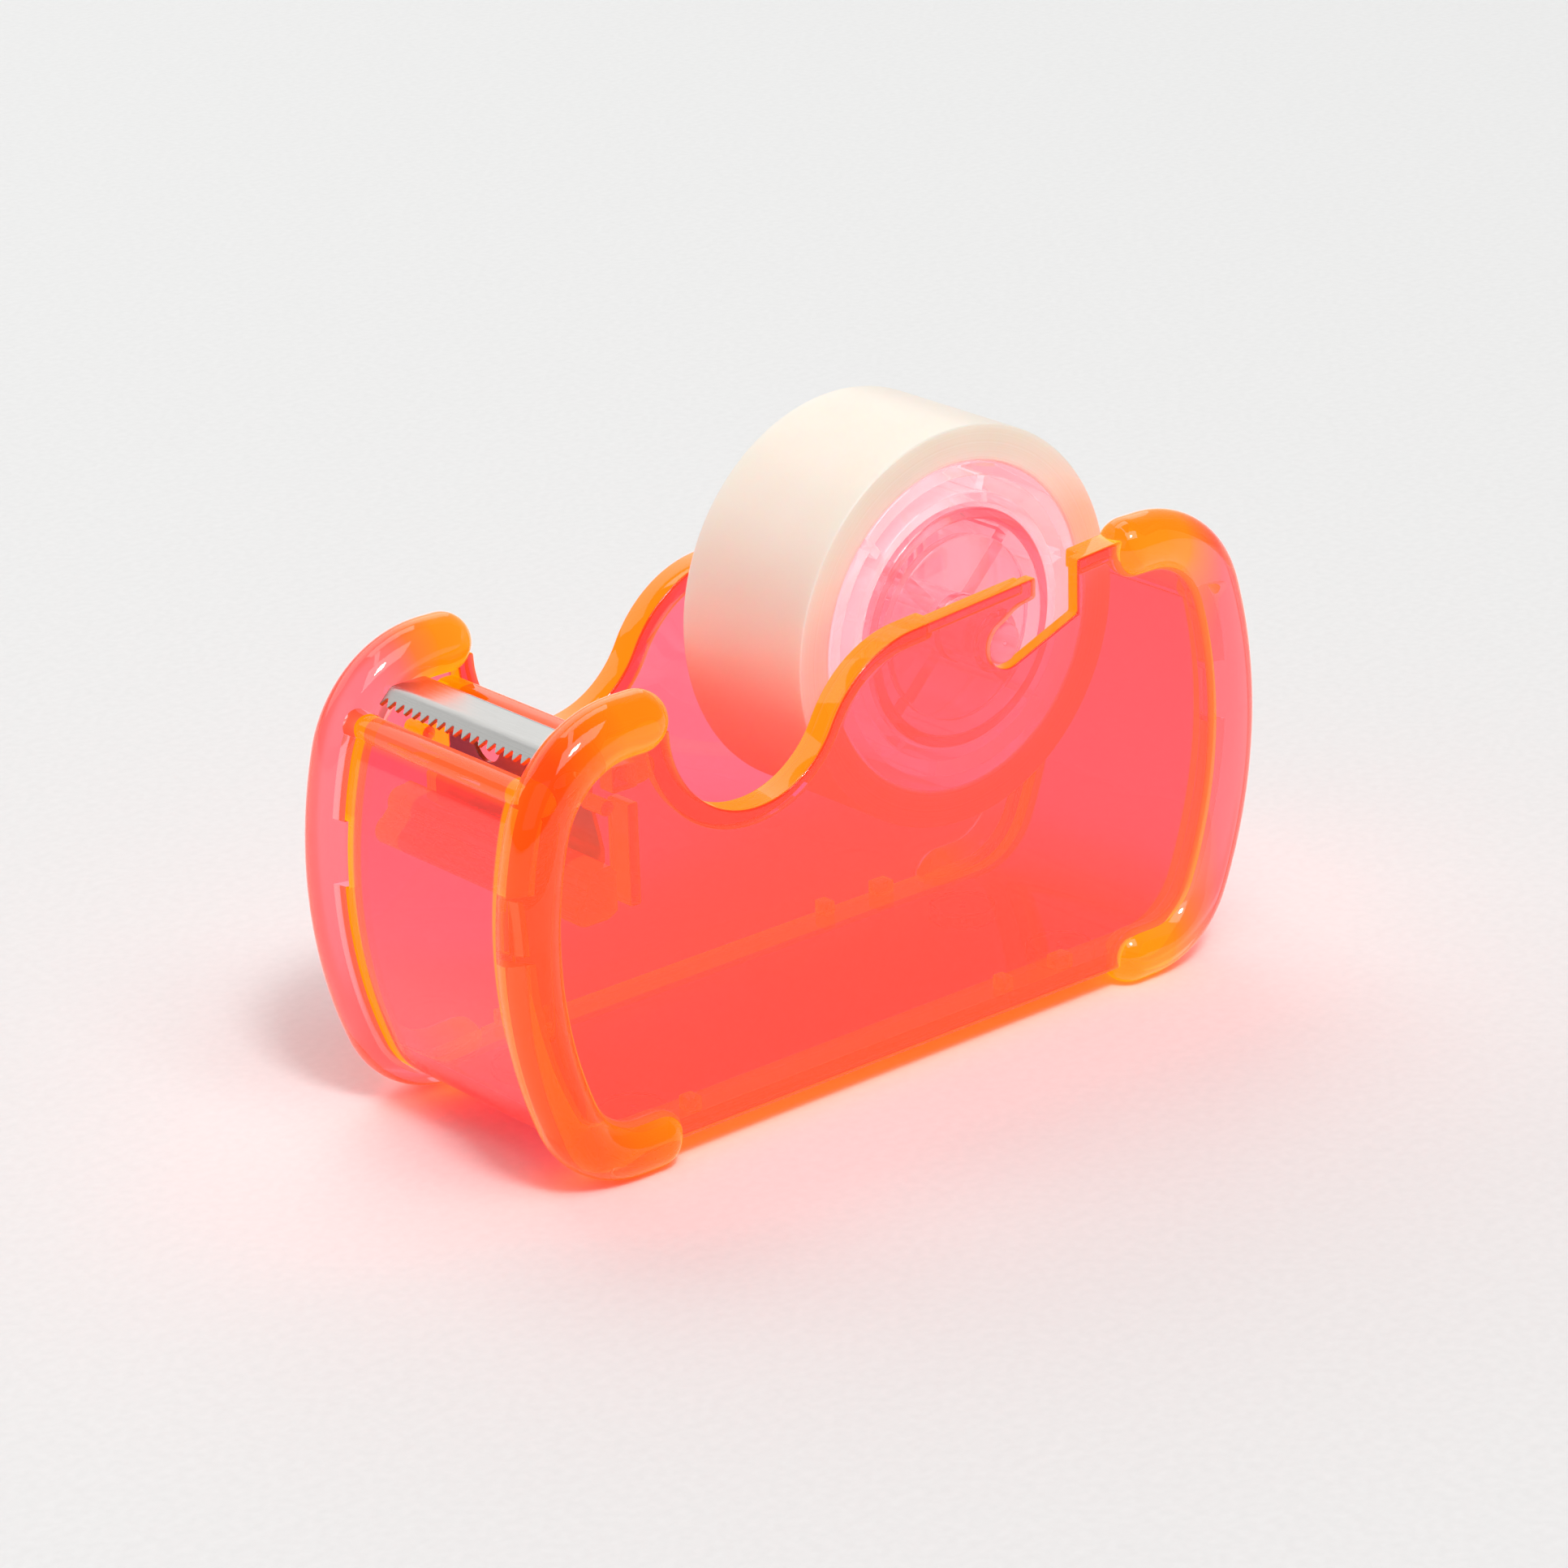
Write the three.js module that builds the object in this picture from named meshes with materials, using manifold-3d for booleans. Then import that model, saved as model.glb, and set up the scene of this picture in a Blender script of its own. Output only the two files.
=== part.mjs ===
// Desk tape dispenser in clear fluorescent plastic, with one roll of tape on its spool.
// Millimetres. +Z is up, -X is the cutting end, and Y runs across the width.
// The origin is on the surface the dispenser stands on, below the middle of its length and width.
import * as THREE from "three";
import { mergeVertices } from "three/addons/utils/BufferGeometryUtils.js";
import Module from "manifold-3d";

const wasm = await Module();
wasm.setup();

// ---------- driving dimensions ----------
const clearance = 0.3; // gap left between two pieces that touch or seat in each other
const overshoot = 1; // how far a cutting shape runs past the faces that it cuts

// bumpers: four round C-shaped bars, one over each end of each side panel
const length = 98.6; // over the bumpers
const bumperRadius = 3.05;
const frontHeight = 49.4; // over the front bumpers
const rearHeight = 51.0; // over the rear bumpers
const bulgeRadius = 46.5; // long front and rear curves of the bumper axis
const bulgeHeight = 26.5; // height of the widest point of those curves
const frontTopCorner = 11;
const rearTopCorner = 10;
const bottomCorner = 8.5;
const bumperEnd = length / 2 - 17; // |x| where the round bumper ends begin
const bumperSides = 12; // facets round a bumper
const bumperSteps = 20; // straight pieces along a bumper
const ballInset = 0.05; // the ball ends are this much smaller than the bar, so that no faces coincide

// side panels
const panelInner = 15.1; // |y| of the panels' inner faces and of the bumpers' axes
const panelThickness = 1.6;
const panelOutset = 0.5; // how far the panel's edge stands outside the bumper axis
const rimDepth = 1.7; // how far the top rim stands inwards from the panel
const rimHeight = 2;
const rimSetback = 1.3; // from the mouth of the slot to the rim behind it
const topTuck = 1; // how far the top line runs on into the ball ends of the bumpers
const valleyX = 30.5 - length / 2;
const valleyZ = 45;
const valleyRadius = 10.7;
const shoulderX = valleyX + 21.4;
const shoulderRadius = 13.5;
const shoulderZ =
  valleyZ - Math.sqrt((valleyRadius + shoulderRadius) ** 2 - (shoulderX - valleyX) ** 2);
const plateauDrop = 1.5; // from the top of the rear bumpers down to the rear end of the plateau
const plateauEndX = bumperEnd - topTuck;
const plateauEndZ = rearHeight - plateauDrop;
// the plateau runs from there to the shoulder, tangent to it
const plateauSlope =
  Math.atan2(plateauEndZ - shoulderZ, plateauEndX - shoulderX) -
  Math.asin(shoulderRadius / Math.hypot(plateauEndZ - shoulderZ, plateauEndX - shoulderX));

// spool seat
const hubX = length / 2 - 35;
const seatDepth = 5.86; // from the plateau down to the axle
const hubZ = plateauEndZ - (plateauEndX - hubX) * Math.tan(plateauSlope) - seatDepth;
const axleRadius = 2.2;
const slotClearance = 0.25; // between the axle and the round end of its slot
const slotRamp = 20.6; // degrees that the lower leg of the slot rises towards the rear
const slotMouthFront = 3.8; // from the axle to the front edge of the slot's mouth
const slotMouthRear = 9.5;
const slotCutAbove = 5; // how far the slot's cutter stands above the panel

// channel: front wall, floor and rear wall in one U
const channelOutset = 1.0; // its outer face, outside the bumper axis
const channelWall = 2;
const frontWallTop = frontHeight - 8.4; // height of the round bead along the wall
const rearWallTop = rearHeight - 10.8;
const beadRadius = 1.5;
const beadSides = 16;

// blade and the two bars that carry it
const bladeTop = frontHeight - 4.4;
const bladeCrease = 8.2 - length / 2; // x of the fold above the teeth
const bladeRear = bladeCrease + 4.3;
const bladeThickness = 0.5;
const bladeLip = 2.1;
const lipAngle = 45; // degrees down from the flat top
const toothPitch = 1.3;
const toothCount = Math.floor((2 * (panelInner - bumperRadius - clearance)) / toothPitch);
const bladeHalf = (toothPitch * toothCount) / 2;
const notchCutter = 3; // thickness of the shape that cuts a notch
const notchLead = 0.4; // how far that shape starts outside the lip
const toothDepth = 0.9;
const legHoleRadius = 2.1;
const legHoleSpacing = 9;
const legHoleZ = bladeTop - 5.4;
const legX = bladeRear + 1.8; // the leg's middle plane
const legTop = bladeTop - 2.2; // where the slope behind the flat top meets the leg
const legBottom = bladeTop - 15;
const legHalfWidth = bladeHalf - 0.7; // at its top and its foot
const legWaist = bladeHalf - 1.2;
const legWaistZ = bladeTop - 7;
const legWaistRun = 1.5; // height of the straight stretch at the waist
const legBulge = bladeHalf + 0.3;
const legBulgeZ = bladeTop - 11.7;
const legBulgeRun = 1.2;
const legShoulder = 1; // height over which the strip narrows into the leg
const legHoleCutter = 4;
const restX = legX + 2.7; // bar behind the blade, where the tape's end rests
const restWidth = 3.6;
const restHeight = 3;
const restZ = frontHeight - 2 * bumperRadius - clearance - restHeight / 2; // clear below the bumpers
const supportX = legX - 3; // lobed bar in front of the leg
const supportZ = legBottom + 0.1;
const supportHeight = 5.4;
const lobeRadius = 1.45;
const upperLobeX = supportX + 0.36;
const lowerLobeX = supportX - 1.3;
const lobeRoot = 0.5; // how far the lower lobe runs on into the bar
const ribWidth = 1.3; // rib on each panel behind the leg
const ribReach = 3.3;
const ribBelow = 2; // how far the rib runs on below the leg
const pegRadius = 0.8;
const pegSides = 12;

// spool, core and tape
const roundSides = 48; // facets round the drum, core and tape
const discSides = 32;
const pinSides = 24; // facets round the axle and its bore
const axleHalf = panelInner + 1; // the axle's half length, inside the panels' outer faces
const collarRadius = 3.3;
const collarHalf = panelInner - 0.7;
const drumRadius = 12.4;
const drumWall = 1.3;
const tapeWidth = 18;
const drumHalf = tapeWidth / 2 + 0.4;
const discRadius = drumRadius - 2.8;
const discThickness = 1.2;
const spokeCount = 4;
const spokeWidth = 1.6;
const spokeSetback = 2; // from the drum's ends to its spokes
const tapeGap = 0.3; // between the core and the innermost turn
const coreSleeve = 1.2; // wall of the core's inner sleeve
const coreOuter = drumRadius + 4.6;
const coreWall = 1.5;
const coreWeb = 1.2; // thickness of the web that joins the core's two rings
const coreRib = 1;
const coreRibSetback = 0.5; // from the core's ends to its ribs
const coreRibs = 6;
const tapeRadius = coreOuter + 3.85;

// feet
const footRadius = 3.6;
const footChamfer = 0.5;
const footX = length / 2 - 20.3;
const footY = 7.5;
const footSides = 20;

// ---------- solids ----------
function solid(geometry) {
  const bare = geometry.index ? geometry.toNonIndexed() : geometry.clone();
  bare.deleteAttribute("normal");
  bare.deleteAttribute("uv");
  const merged = mergeVertices(bare, 1e-4);
  return new wasm.Manifold(
    new wasm.Mesh({
      numProp: 3,
      vertProperties: new Float32Array(merged.attributes.position.array),
      triVerts: new Uint32Array(merged.index.array),
    }),
  );
}

function geometryOf(body) {
  const mesh = body.getMesh();
  const geometry = new THREE.BufferGeometry();
  geometry.setAttribute("position", new THREE.BufferAttribute(mesh.vertProperties, 3));
  geometry.setIndex(new THREE.BufferAttribute(mesh.triVerts, 1));
  geometry.computeVertexNormals();
  return geometry;
}

// An outline in the XZ plane, given thickness from y0 to y1.
function slab(shape, y0, y1, curveSegments = 10) {
  const geometry = new THREE.ExtrudeGeometry(shape, {
    depth: y1 - y0,
    bevelEnabled: false,
    curveSegments,
  });
  geometry.rotateX(Math.PI / 2);
  geometry.translate(0, y1, 0);
  return solid(geometry);
}

function block(x0, x1, y0, y1, z0, z1) {
  const geometry = new THREE.BoxGeometry(x1 - x0, y1 - y0, z1 - z0);
  geometry.translate((x0 + x1) / 2, (y0 + y1) / 2, (z0 + z1) / 2);
  return solid(geometry);
}

// A cylinder about an axis parallel to Y.
function rod(radius, x, z, y0, y1, sides = pinSides) {
  const geometry = new THREE.CylinderGeometry(radius, radius, y1 - y0, sides);
  geometry.translate(x, (y0 + y1) / 2, z);
  return solid(geometry);
}

function tube(outer, inner, x, z, y0, y1, sides) {
  return rod(outer, x, z, y0, y1, sides).subtract(
    rod(inner, x, z, y0 - overshoot, y1 + overshoot, sides),
  );
}

const rad = THREE.MathUtils.degToRad;

// ---------- side outline ----------
// The end curves of the outline, drawn `offset` outside the bumper axis: a top corner, a long bulge
// and a bottom corner, each tangent to the next.
function endArcs(side, offset) {
  const axisX = length / 2 - bumperRadius;
  const top = (side < 0 ? frontHeight : rearHeight) - bumperRadius;
  const topRadius = side < 0 ? frontTopCorner : rearTopCorner;
  const bulgeX = side * (axisX - bulgeRadius);
  const corner = (radius, z) => {
    const run = Math.sqrt((bulgeRadius - radius) ** 2 - (z - bulgeHeight) ** 2);
    const x = bulgeX + side * run;
    const angle = Math.atan2(z - bulgeHeight, x - bulgeX);
    return { x, z, radius: radius + offset, angle };
  };
  const upper = corner(topRadius, top - topRadius);
  const lower = corner(bottomCorner, bumperRadius + bottomCorner);
  return { upper, lower, bulgeX, bulge: bulgeRadius + offset, top: top + offset };
}

// Front end, top to bottom.
function drawFront(path, offset) {
  const a = endArcs(-1, offset);
  path.absarc(a.upper.x, a.upper.z, a.upper.radius, Math.PI / 2, a.upper.angle, false);
  path.absarc(a.bulgeX, bulgeHeight, a.bulge, a.upper.angle, a.lower.angle + 2 * Math.PI, false);
  path.absarc(a.lower.x, a.lower.z, a.lower.radius, a.lower.angle, -Math.PI / 2, false);
}

// Rear end, bottom to top.
function drawRear(path, offset) {
  const a = endArcs(1, offset);
  path.absarc(a.lower.x, a.lower.z, a.lower.radius, -Math.PI / 2, a.lower.angle, false);
  path.absarc(a.bulgeX, bulgeHeight, a.bulge, a.lower.angle, a.upper.angle, false);
  path.absarc(a.upper.x, a.upper.z, a.upper.radius, a.upper.angle, Math.PI / 2, false);
}

// The panels' top line from rear to front, lowered by `drop`: plateau, shoulder and valley.
function drawTop(path, drop) {
  const shoulder = shoulderRadius - drop;
  const startX = shoulderX - shoulder * Math.sin(plateauSlope);
  const startZ = shoulderZ + shoulder * Math.cos(plateauSlope);
  const meet = Math.atan2(valleyZ - shoulderZ, valleyX - shoulderX);
  path.lineTo(plateauEndX, startZ + (plateauEndX - startX) * Math.tan(plateauSlope));
  path.lineTo(startX, startZ);
  path.absarc(shoulderX, shoulderZ, shoulder, Math.PI / 2 + plateauSlope, meet, false);
  path.absarc(valleyX, valleyZ, valleyRadius + drop, meet - Math.PI, -Math.PI, true);
}

// A side panel's outline, `grow` larger all round and with its top line lowered by `drop`.
function panelShape(grow = 0, drop = -grow) {
  const shape = new THREE.Shape();
  const offset = panelOutset + grow;
  shape.moveTo(valleyX - valleyRadius - drop, endArcs(-1, offset).top);
  drawFront(shape, offset);
  drawRear(shape, offset);
  drawTop(shape, drop);
  shape.closePath();
  return shape;
}

// The whole side outline, `offset` outside the bumper axis, closed straight across the top.
function sideShape(offset) {
  const shape = new THREE.Shape();
  shape.moveTo(-bumperEnd, endArcs(-1, offset).top);
  drawFront(shape, offset);
  drawRear(shape, offset);
  shape.closePath();
  return shape;
}

// x of the bumper axis at height z, at one end.
function axisX(side, z) {
  const a = endArcs(side, 0);
  const meetZ = a.upper.z + a.upper.radius * Math.sin(a.upper.angle);
  return z > meetZ
    ? a.upper.x + side * Math.sqrt(a.upper.radius ** 2 - (z - a.upper.z) ** 2)
    : a.bulgeX + side * Math.sqrt(bulgeRadius ** 2 - (z - bulgeHeight) ** 2);
}

// The slot that the axle drops into: a mouth in the top edge and a ramp down to a round seat.
function slotShape() {
  const r = axleRadius + slotClearance;
  const ramp = rad(slotRamp);
  const lift = r / Math.cos(ramp);
  const top = rearHeight + slotCutAbove;
  const shape = new THREE.Shape();
  shape.moveTo(hubX + slotMouthFront, top);
  shape.lineTo(hubX + slotMouthFront, hubZ + slotMouthFront * Math.tan(ramp) + lift);
  shape.absarc(hubX, hubZ, r, ramp + Math.PI / 2, ramp - Math.PI / 2, false);
  shape.lineTo(hubX + slotMouthRear, hubZ + slotMouthRear * Math.tan(ramp) - lift);
  shape.lineTo(hubX + slotMouthRear, top);
  shape.closePath();
  return shape;
}

// ---------- pieces ----------
// A round bar along points in the XZ plane, with ball ends.
function sweep(points, plane, radius) {
  const route = new THREE.CatmullRomCurve3(
    points.map((p) => new THREE.Vector3(p.x, plane, p.y)),
    false,
    "centripetal",
  );
  const section = new THREE.Shape();
  section.absarc(0, 0, radius, 0, 2 * Math.PI, false);
  const bar = new THREE.ExtrudeGeometry(section, {
    steps: points.length + 3,
    curveSegments: bumperSides / 2,
    extrudePath: route,
    bevelEnabled: false,
  });
  const ball = (p) => {
    const geometry = new THREE.SphereGeometry(radius - ballInset, bumperSides, bumperSides / 2);
    geometry.rotateX(Math.PI / 2);
    geometry.translate(p.x, plane, p.y);
    return solid(geometry);
  };
  return solid(bar).add(ball(points[0])).add(ball(points.at(-1)));
}

// One bumper before its slots are cut; `grow` makes the same shape fatter, as a cutter.
function bumperBar(side, plane, grow = 0) {
  const top = endArcs(side, 0).top;
  const axis = new THREE.Path();
  if (side < 0) {
    axis.moveTo(-bumperEnd, top);
    drawFront(axis, 0);
    axis.lineTo(-bumperEnd, bumperRadius);
  } else {
    axis.moveTo(bumperEnd, bumperRadius);
    drawRear(axis, 0);
    axis.lineTo(bumperEnd, top);
  }
  return sweep(axis.getSpacedPoints(bumperSteps), plane, bumperRadius + grow);
}

// `sign` is -1 for the near side and 1 for the far side.
const between = (sign, inner, outer) => (sign < 0 ? [-outer, -inner] : [inner, outer]);

const channelHalf = panelInner - clearance;
const bumperCutters = [-1, 1].flatMap((end) =>
  [-1, 1].map((sign) => bumperBar(end, sign * panelInner, clearance)),
);

function makeBumper(end, sign) {
  const slot = between(sign, panelInner - clearance, panelInner + panelThickness + clearance);
  return bumperBar(end, sign * panelInner).subtract(slab(panelShape(clearance), ...slot));
}

function makePanel(sign) {
  const plate = between(sign, panelInner, panelInner + panelThickness);
  const rim = between(sign, panelInner - rimDepth, panelInner + panelThickness / 2);
  const lip = slab(panelShape(), ...rim).subtract(
    slab(panelShape(overshoot, rimHeight), rim[0] - overshoot, rim[1] + overshoot),
  );
  const seatFront = hubX - slotMouthRear;
  const seatRear = hubX + slotMouthRear + rimSetback;
  const lipFront = block(valleyX - valleyRadius, seatFront, ...rim, 0, rearHeight);
  const lipRear = block(seatRear, bumperEnd - bumperRadius - topTuck, ...rim, 0, rearHeight);
  const rib = between(sign, panelInner - ribReach, panelInner + panelThickness / 2);
  const ribX = legX + bladeThickness + clearance;
  const pegX = legX - bladeThickness - clearance - pegRadius;
  return slab(panelShape(), ...plate)
    .add(lip.intersect(lipFront.add(lipRear)))
    .add(block(ribX, ribX + ribWidth, ...rib, legBottom - ribBelow, restZ - restHeight))
    .add(rod(pegRadius, pegX, legWaistZ + pegRadius, ...rib, pegSides))
    .subtract(slab(slotShape(), plate[0] - rimDepth - overshoot, plate[1] + rimDepth + overshoot));
}

function makeChannel() {
  const half = channelHalf;
  const outer = slab(sideShape(channelOutset), -half, half);
  const past = half + overshoot;
  const inner = slab(sideShape(channelOutset - channelWall), -past, past);
  const above = block(-length, 0, -past, past, frontWallTop, rearHeight * 2).add(
    block(-overshoot, length, -past, past, rearWallTop, rearHeight * 2),
  );
  const middle = channelOutset - channelWall / 2;
  const bead = (side, z) => rod(beadRadius, axisX(side, z) + side * middle, z, -half, half, beadSides);
  const whole = outer
    .subtract(inner)
    .subtract(above)
    .add(bead(-1, frontWallTop))
    .add(bead(1, rearWallTop));
  return bumperCutters.reduce((body, cutter) => body.subtract(cutter), whole);
}

// Side view of the bent strip: tooth lip, flat top, slope and leg.
function bladeProfile() {
  const lip = rad(lipAngle);
  const line = [
    [bladeCrease - bladeLip * Math.cos(lip), bladeTop - bladeLip * Math.sin(lip)],
    [bladeCrease, bladeTop],
    [bladeRear, bladeTop],
    [legX + bladeThickness / 2, legTop],
    [legX + bladeThickness / 2, legBottom],
  ];
  const t = bladeThickness;
  const under = [
    [legX - t / 2, legBottom],
    [legX - t / 2, legTop - t / 3],
    [bladeRear - t / 3, bladeTop - t],
    [bladeCrease + t / 3, bladeTop - t],
    [line[0][0] + t * Math.sin(lip), line[0][1] - t * Math.cos(lip)],
  ];
  const shape = new THREE.Shape();
  [...line, ...under].forEach(([x, z], i) => (i ? shape.lineTo(x, z) : shape.moveTo(x, z)));
  shape.closePath();
  return shape;
}

// Front view of the leg and the flat top together, used to trim the strip's sides.
function bladeFront() {
  const shape = new THREE.Shape();
  const edge = (s) => [
    [s * bladeHalf, bladeTop + overshoot],
    [s * bladeHalf, legTop],
    [s * legHalfWidth, legTop - legShoulder],
    [s * legWaist, legWaistZ + legWaistRun],
    [s * legWaist, legWaistZ],
    [s * legBulge, legBulgeZ],
    [s * legBulge, legBulgeZ - legBulgeRun],
    [s * legHalfWidth, legBottom],
  ];
  const points = [...edge(-1), ...edge(1).reverse()];
  points.forEach(([y, z], i) => (i ? shape.lineTo(y, z) : shape.moveTo(y, z)));
  shape.closePath();
  const start = bladeCrease - bladeLip - overshoot;
  const depth = legX + overshoot - start;
  const geometry = new THREE.ExtrudeGeometry(shape, { depth, bevelEnabled: false });
  geometry.rotateX(Math.PI / 2);
  geometry.rotateZ(Math.PI / 2);
  geometry.translate(start, 0, 0);
  return solid(geometry);
}

function makeBlade() {
  let strip = slab(bladeProfile(), -bladeHalf, bladeHalf).intersect(bladeFront());
  for (const s of [-1, 1]) {
    const hole = new THREE.CylinderGeometry(legHoleRadius, legHoleRadius, legHoleCutter, pinSides);
    hole.rotateZ(Math.PI / 2);
    hole.translate(legX, (s * legHoleSpacing) / 2, legHoleZ);
    strip = strip.subtract(solid(hole));
  }
  // V notches between the teeth, cut square to the lip
  const lip = rad(lipAngle);
  const tip = [bladeCrease - bladeLip * Math.cos(lip), bladeTop - bladeLip * Math.sin(lip)];
  for (let i = 0; i <= toothCount; i += 1) {
    const notch = new THREE.Shape();
    notch.moveTo(-toothPitch / 2, -notchLead);
    notch.lineTo(toothPitch / 2, -notchLead);
    notch.lineTo(toothPitch / 2, 0);
    notch.lineTo(0, toothDepth);
    notch.lineTo(-toothPitch / 2, 0);
    notch.closePath();
    const cutter = new THREE.ExtrudeGeometry(notch, { depth: notchCutter, bevelEnabled: false });
    cutter.translate(0, 0, -notchCutter / 2);
    cutter.rotateZ(-Math.PI / 2);
    cutter.rotateY(-lip);
    cutter.translate(tip[0], (i - toothCount / 2) * toothPitch, tip[1]);
    strip = strip.subtract(solid(cutter));
  }
  return strip;
}

function makeTapeRest() {
  const r = restHeight / 2;
  const reach = restWidth / 2 - r;
  const shape = new THREE.Shape();
  shape.absarc(restX - reach, restZ, r, Math.PI / 2, (3 * Math.PI) / 2, false);
  shape.absarc(restX + reach, restZ, r, -Math.PI / 2, Math.PI / 2, false);
  shape.closePath();
  return slab(shape, -channelHalf, channelHalf, pegSides / 2);
}

function makeBladeSupport() {
  const half = channelHalf;
  const back = legX - bladeThickness / 2 - clearance;
  const low = supportZ - supportHeight / 2;
  const high = supportZ + supportHeight / 2;
  return block(supportX, back, -half, half, low, high)
    .add(rod(lobeRadius, upperLobeX, high - lobeRadius, -half, half, beadSides))
    .add(rod(lobeRadius, lowerLobeX, low + lobeRadius, -half, half, beadSides))
    .add(block(lowerLobeX, supportX + lobeRoot, -half, half, low, low + lobeRadius));
}

function makeFoot(x, y) {
  const top = bumperRadius - channelOutset - clearance;
  const profile = [
    [0, 0],
    [footRadius - footChamfer, 0],
    [footRadius, footChamfer],
    [footRadius, top],
    [0, top],
  ].map(([r, z]) => new THREE.Vector2(r, z));
  const geometry = new THREE.LatheGeometry(profile, footSides);
  geometry.rotateX(Math.PI / 2);
  geometry.translate(x, y, 0);
  return solid(geometry);
}

// ---------- spool, core and tape, all about the axle at hubX, hubZ ----------
const hubRod = (radius, half, sides = pinSides) => rod(radius, hubX, hubZ, -half, half, sides);
const hubTube = (outer, inner, half, sides) => tube(outer, inner, hubX, hubZ, -half, half, sides);

// Flat radial arms about the axle, from the middle out to `reach`.
function arms(count, first, reach, width, half) {
  let all = null;
  for (let i = 0; i < count; i += 1) {
    const geometry = new THREE.BoxGeometry(reach, 2 * half, width);
    geometry.translate(reach / 2, 0, 0);
    geometry.rotateY(-first - (i * 2 * Math.PI) / count);
    geometry.translate(hubX, 0, hubZ);
    const arm = solid(geometry);
    all = all ? all.add(arm) : arm;
  }
  return all;
}

function makeDrum() {
  const bore = hubRod(axleRadius + clearance, collarHalf + overshoot);
  const disc = (y0) => rod(discRadius, hubX, hubZ, y0, y0 + discThickness, discSides);
  return hubTube(drumRadius, drumRadius - drumWall, drumHalf, roundSides)
    .add(arms(spokeCount, Math.PI / 4, drumRadius - drumWall / 2, spokeWidth, drumHalf - spokeSetback))
    .add(hubRod(collarRadius, collarHalf))
    .add(disc(-drumHalf))
    .add(disc(drumHalf - discThickness))
    .subtract(bore);
}

function makeCore() {
  const half = tapeWidth / 2;
  const bore = drumRadius + clearance;
  const sleeve = bore + coreSleeve;
  const hollow = coreOuter - coreWall;
  const web = hubTube(hollow + coreWall / 2, bore + coreSleeve / 2, coreWeb / 2, roundSides);
  const ribs = arms(coreRibs, rad(15), hollow + coreWall / 2, coreRib, half - coreRibSetback)
    .subtract(hubRod(bore + coreSleeve / 2, half, roundSides));
  return hubTube(coreOuter, hollow, half, roundSides)
    .add(hubTube(sleeve, bore, half, roundSides))
    .add(web)
    .add(ribs);
}

// ---------- assembly ----------
const plastic = (color) => new THREE.MeshStandardMaterial({ color, roughness: 0.08, metalness: 0 });
const panelPink = plastic(0xff5a66);
const bumperOrange = plastic(0xff7a3c);
const channelPink = plastic(0xff6470);
const spoolPink = plastic(0xffb4bc);
const steel = new THREE.MeshStandardMaterial({ color: 0xb9b9b4, roughness: 0.3, metalness: 1 });
const tapeCream = new THREE.MeshStandardMaterial({ color: 0xf6ead6, roughness: 0.45 });
const footClear = new THREE.MeshStandardMaterial({ color: 0xf2b8b4, roughness: 0.35 });

const dispenser = new THREE.Group();
function place(name, body, material) {
  const mesh = new THREE.Mesh(geometryOf(body), material);
  mesh.name = name;
  dispenser.add(mesh);
}

for (const [sideName, sign] of [["near", -1], ["far", 1]]) {
  place(`${sideName}_side_panel`, makePanel(sign), panelPink);
  place(`${sideName}_front_bumper`, makeBumper(-1, sign), bumperOrange);
  place(`${sideName}_rear_bumper`, makeBumper(1, sign), bumperOrange);
}
place("channel", makeChannel(), channelPink);
place("blade", makeBlade(), steel);
place("tape_rest", makeTapeRest(), channelPink);
place("blade_support", makeBladeSupport(), channelPink);
for (const [endName, end] of [["front", -1], ["rear", 1]]) {
  for (const [sideName, sign] of [["near", -1], ["far", 1]]) {
    place(`foot_${endName}_${sideName}`, makeFoot(end * footX, sign * footY), footClear);
  }
}
place("axle", hubRod(axleRadius, axleHalf), spoolPink);
place("spool_drum", makeDrum(), spoolPink);
place("tape_core", makeCore(), spoolPink);
place("tape_roll", hubTube(tapeRadius, coreOuter + tapeGap, tapeWidth / 2, roundSides), tapeCream);

export default dispenser;
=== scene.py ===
import math

import bmesh
import bpy
from mathutils import Matrix, Vector


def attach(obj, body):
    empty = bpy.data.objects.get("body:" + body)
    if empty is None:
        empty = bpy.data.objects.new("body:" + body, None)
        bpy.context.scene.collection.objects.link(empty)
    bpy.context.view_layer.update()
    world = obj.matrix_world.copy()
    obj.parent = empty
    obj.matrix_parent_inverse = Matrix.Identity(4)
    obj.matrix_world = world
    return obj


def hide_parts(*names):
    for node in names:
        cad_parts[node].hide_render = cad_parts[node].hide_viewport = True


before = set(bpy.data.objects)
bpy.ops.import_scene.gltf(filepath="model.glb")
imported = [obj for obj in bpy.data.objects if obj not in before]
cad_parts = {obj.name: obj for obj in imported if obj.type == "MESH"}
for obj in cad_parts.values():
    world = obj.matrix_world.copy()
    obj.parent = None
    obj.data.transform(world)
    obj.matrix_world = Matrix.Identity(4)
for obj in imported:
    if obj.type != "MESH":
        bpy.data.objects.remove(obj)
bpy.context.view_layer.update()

# Lengths below are in millimetres; meshes are scaled to metres as they are made.
MM = 0.001

# ---------- sizes ----------
LENGTH = 98.6
TUBE_R = 3.05
TUBE_Y = 15.1
FRONT_H, REAR_H = 49.4, 51.0
BULGE_R, BULGE_Z = 46.5, 26.5  # the long curve of the bumpers' axis, front and rear
FRONT_TOP_R, REAR_TOP_R, BOTTOM_R = 11.0, 10.0, 8.5
TUBE_END = 32.3  # |x| where the bumpers' ball ends begin
TUBE_GAP = 0.03  # left round a bumper where it is cut out of a panel

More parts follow.
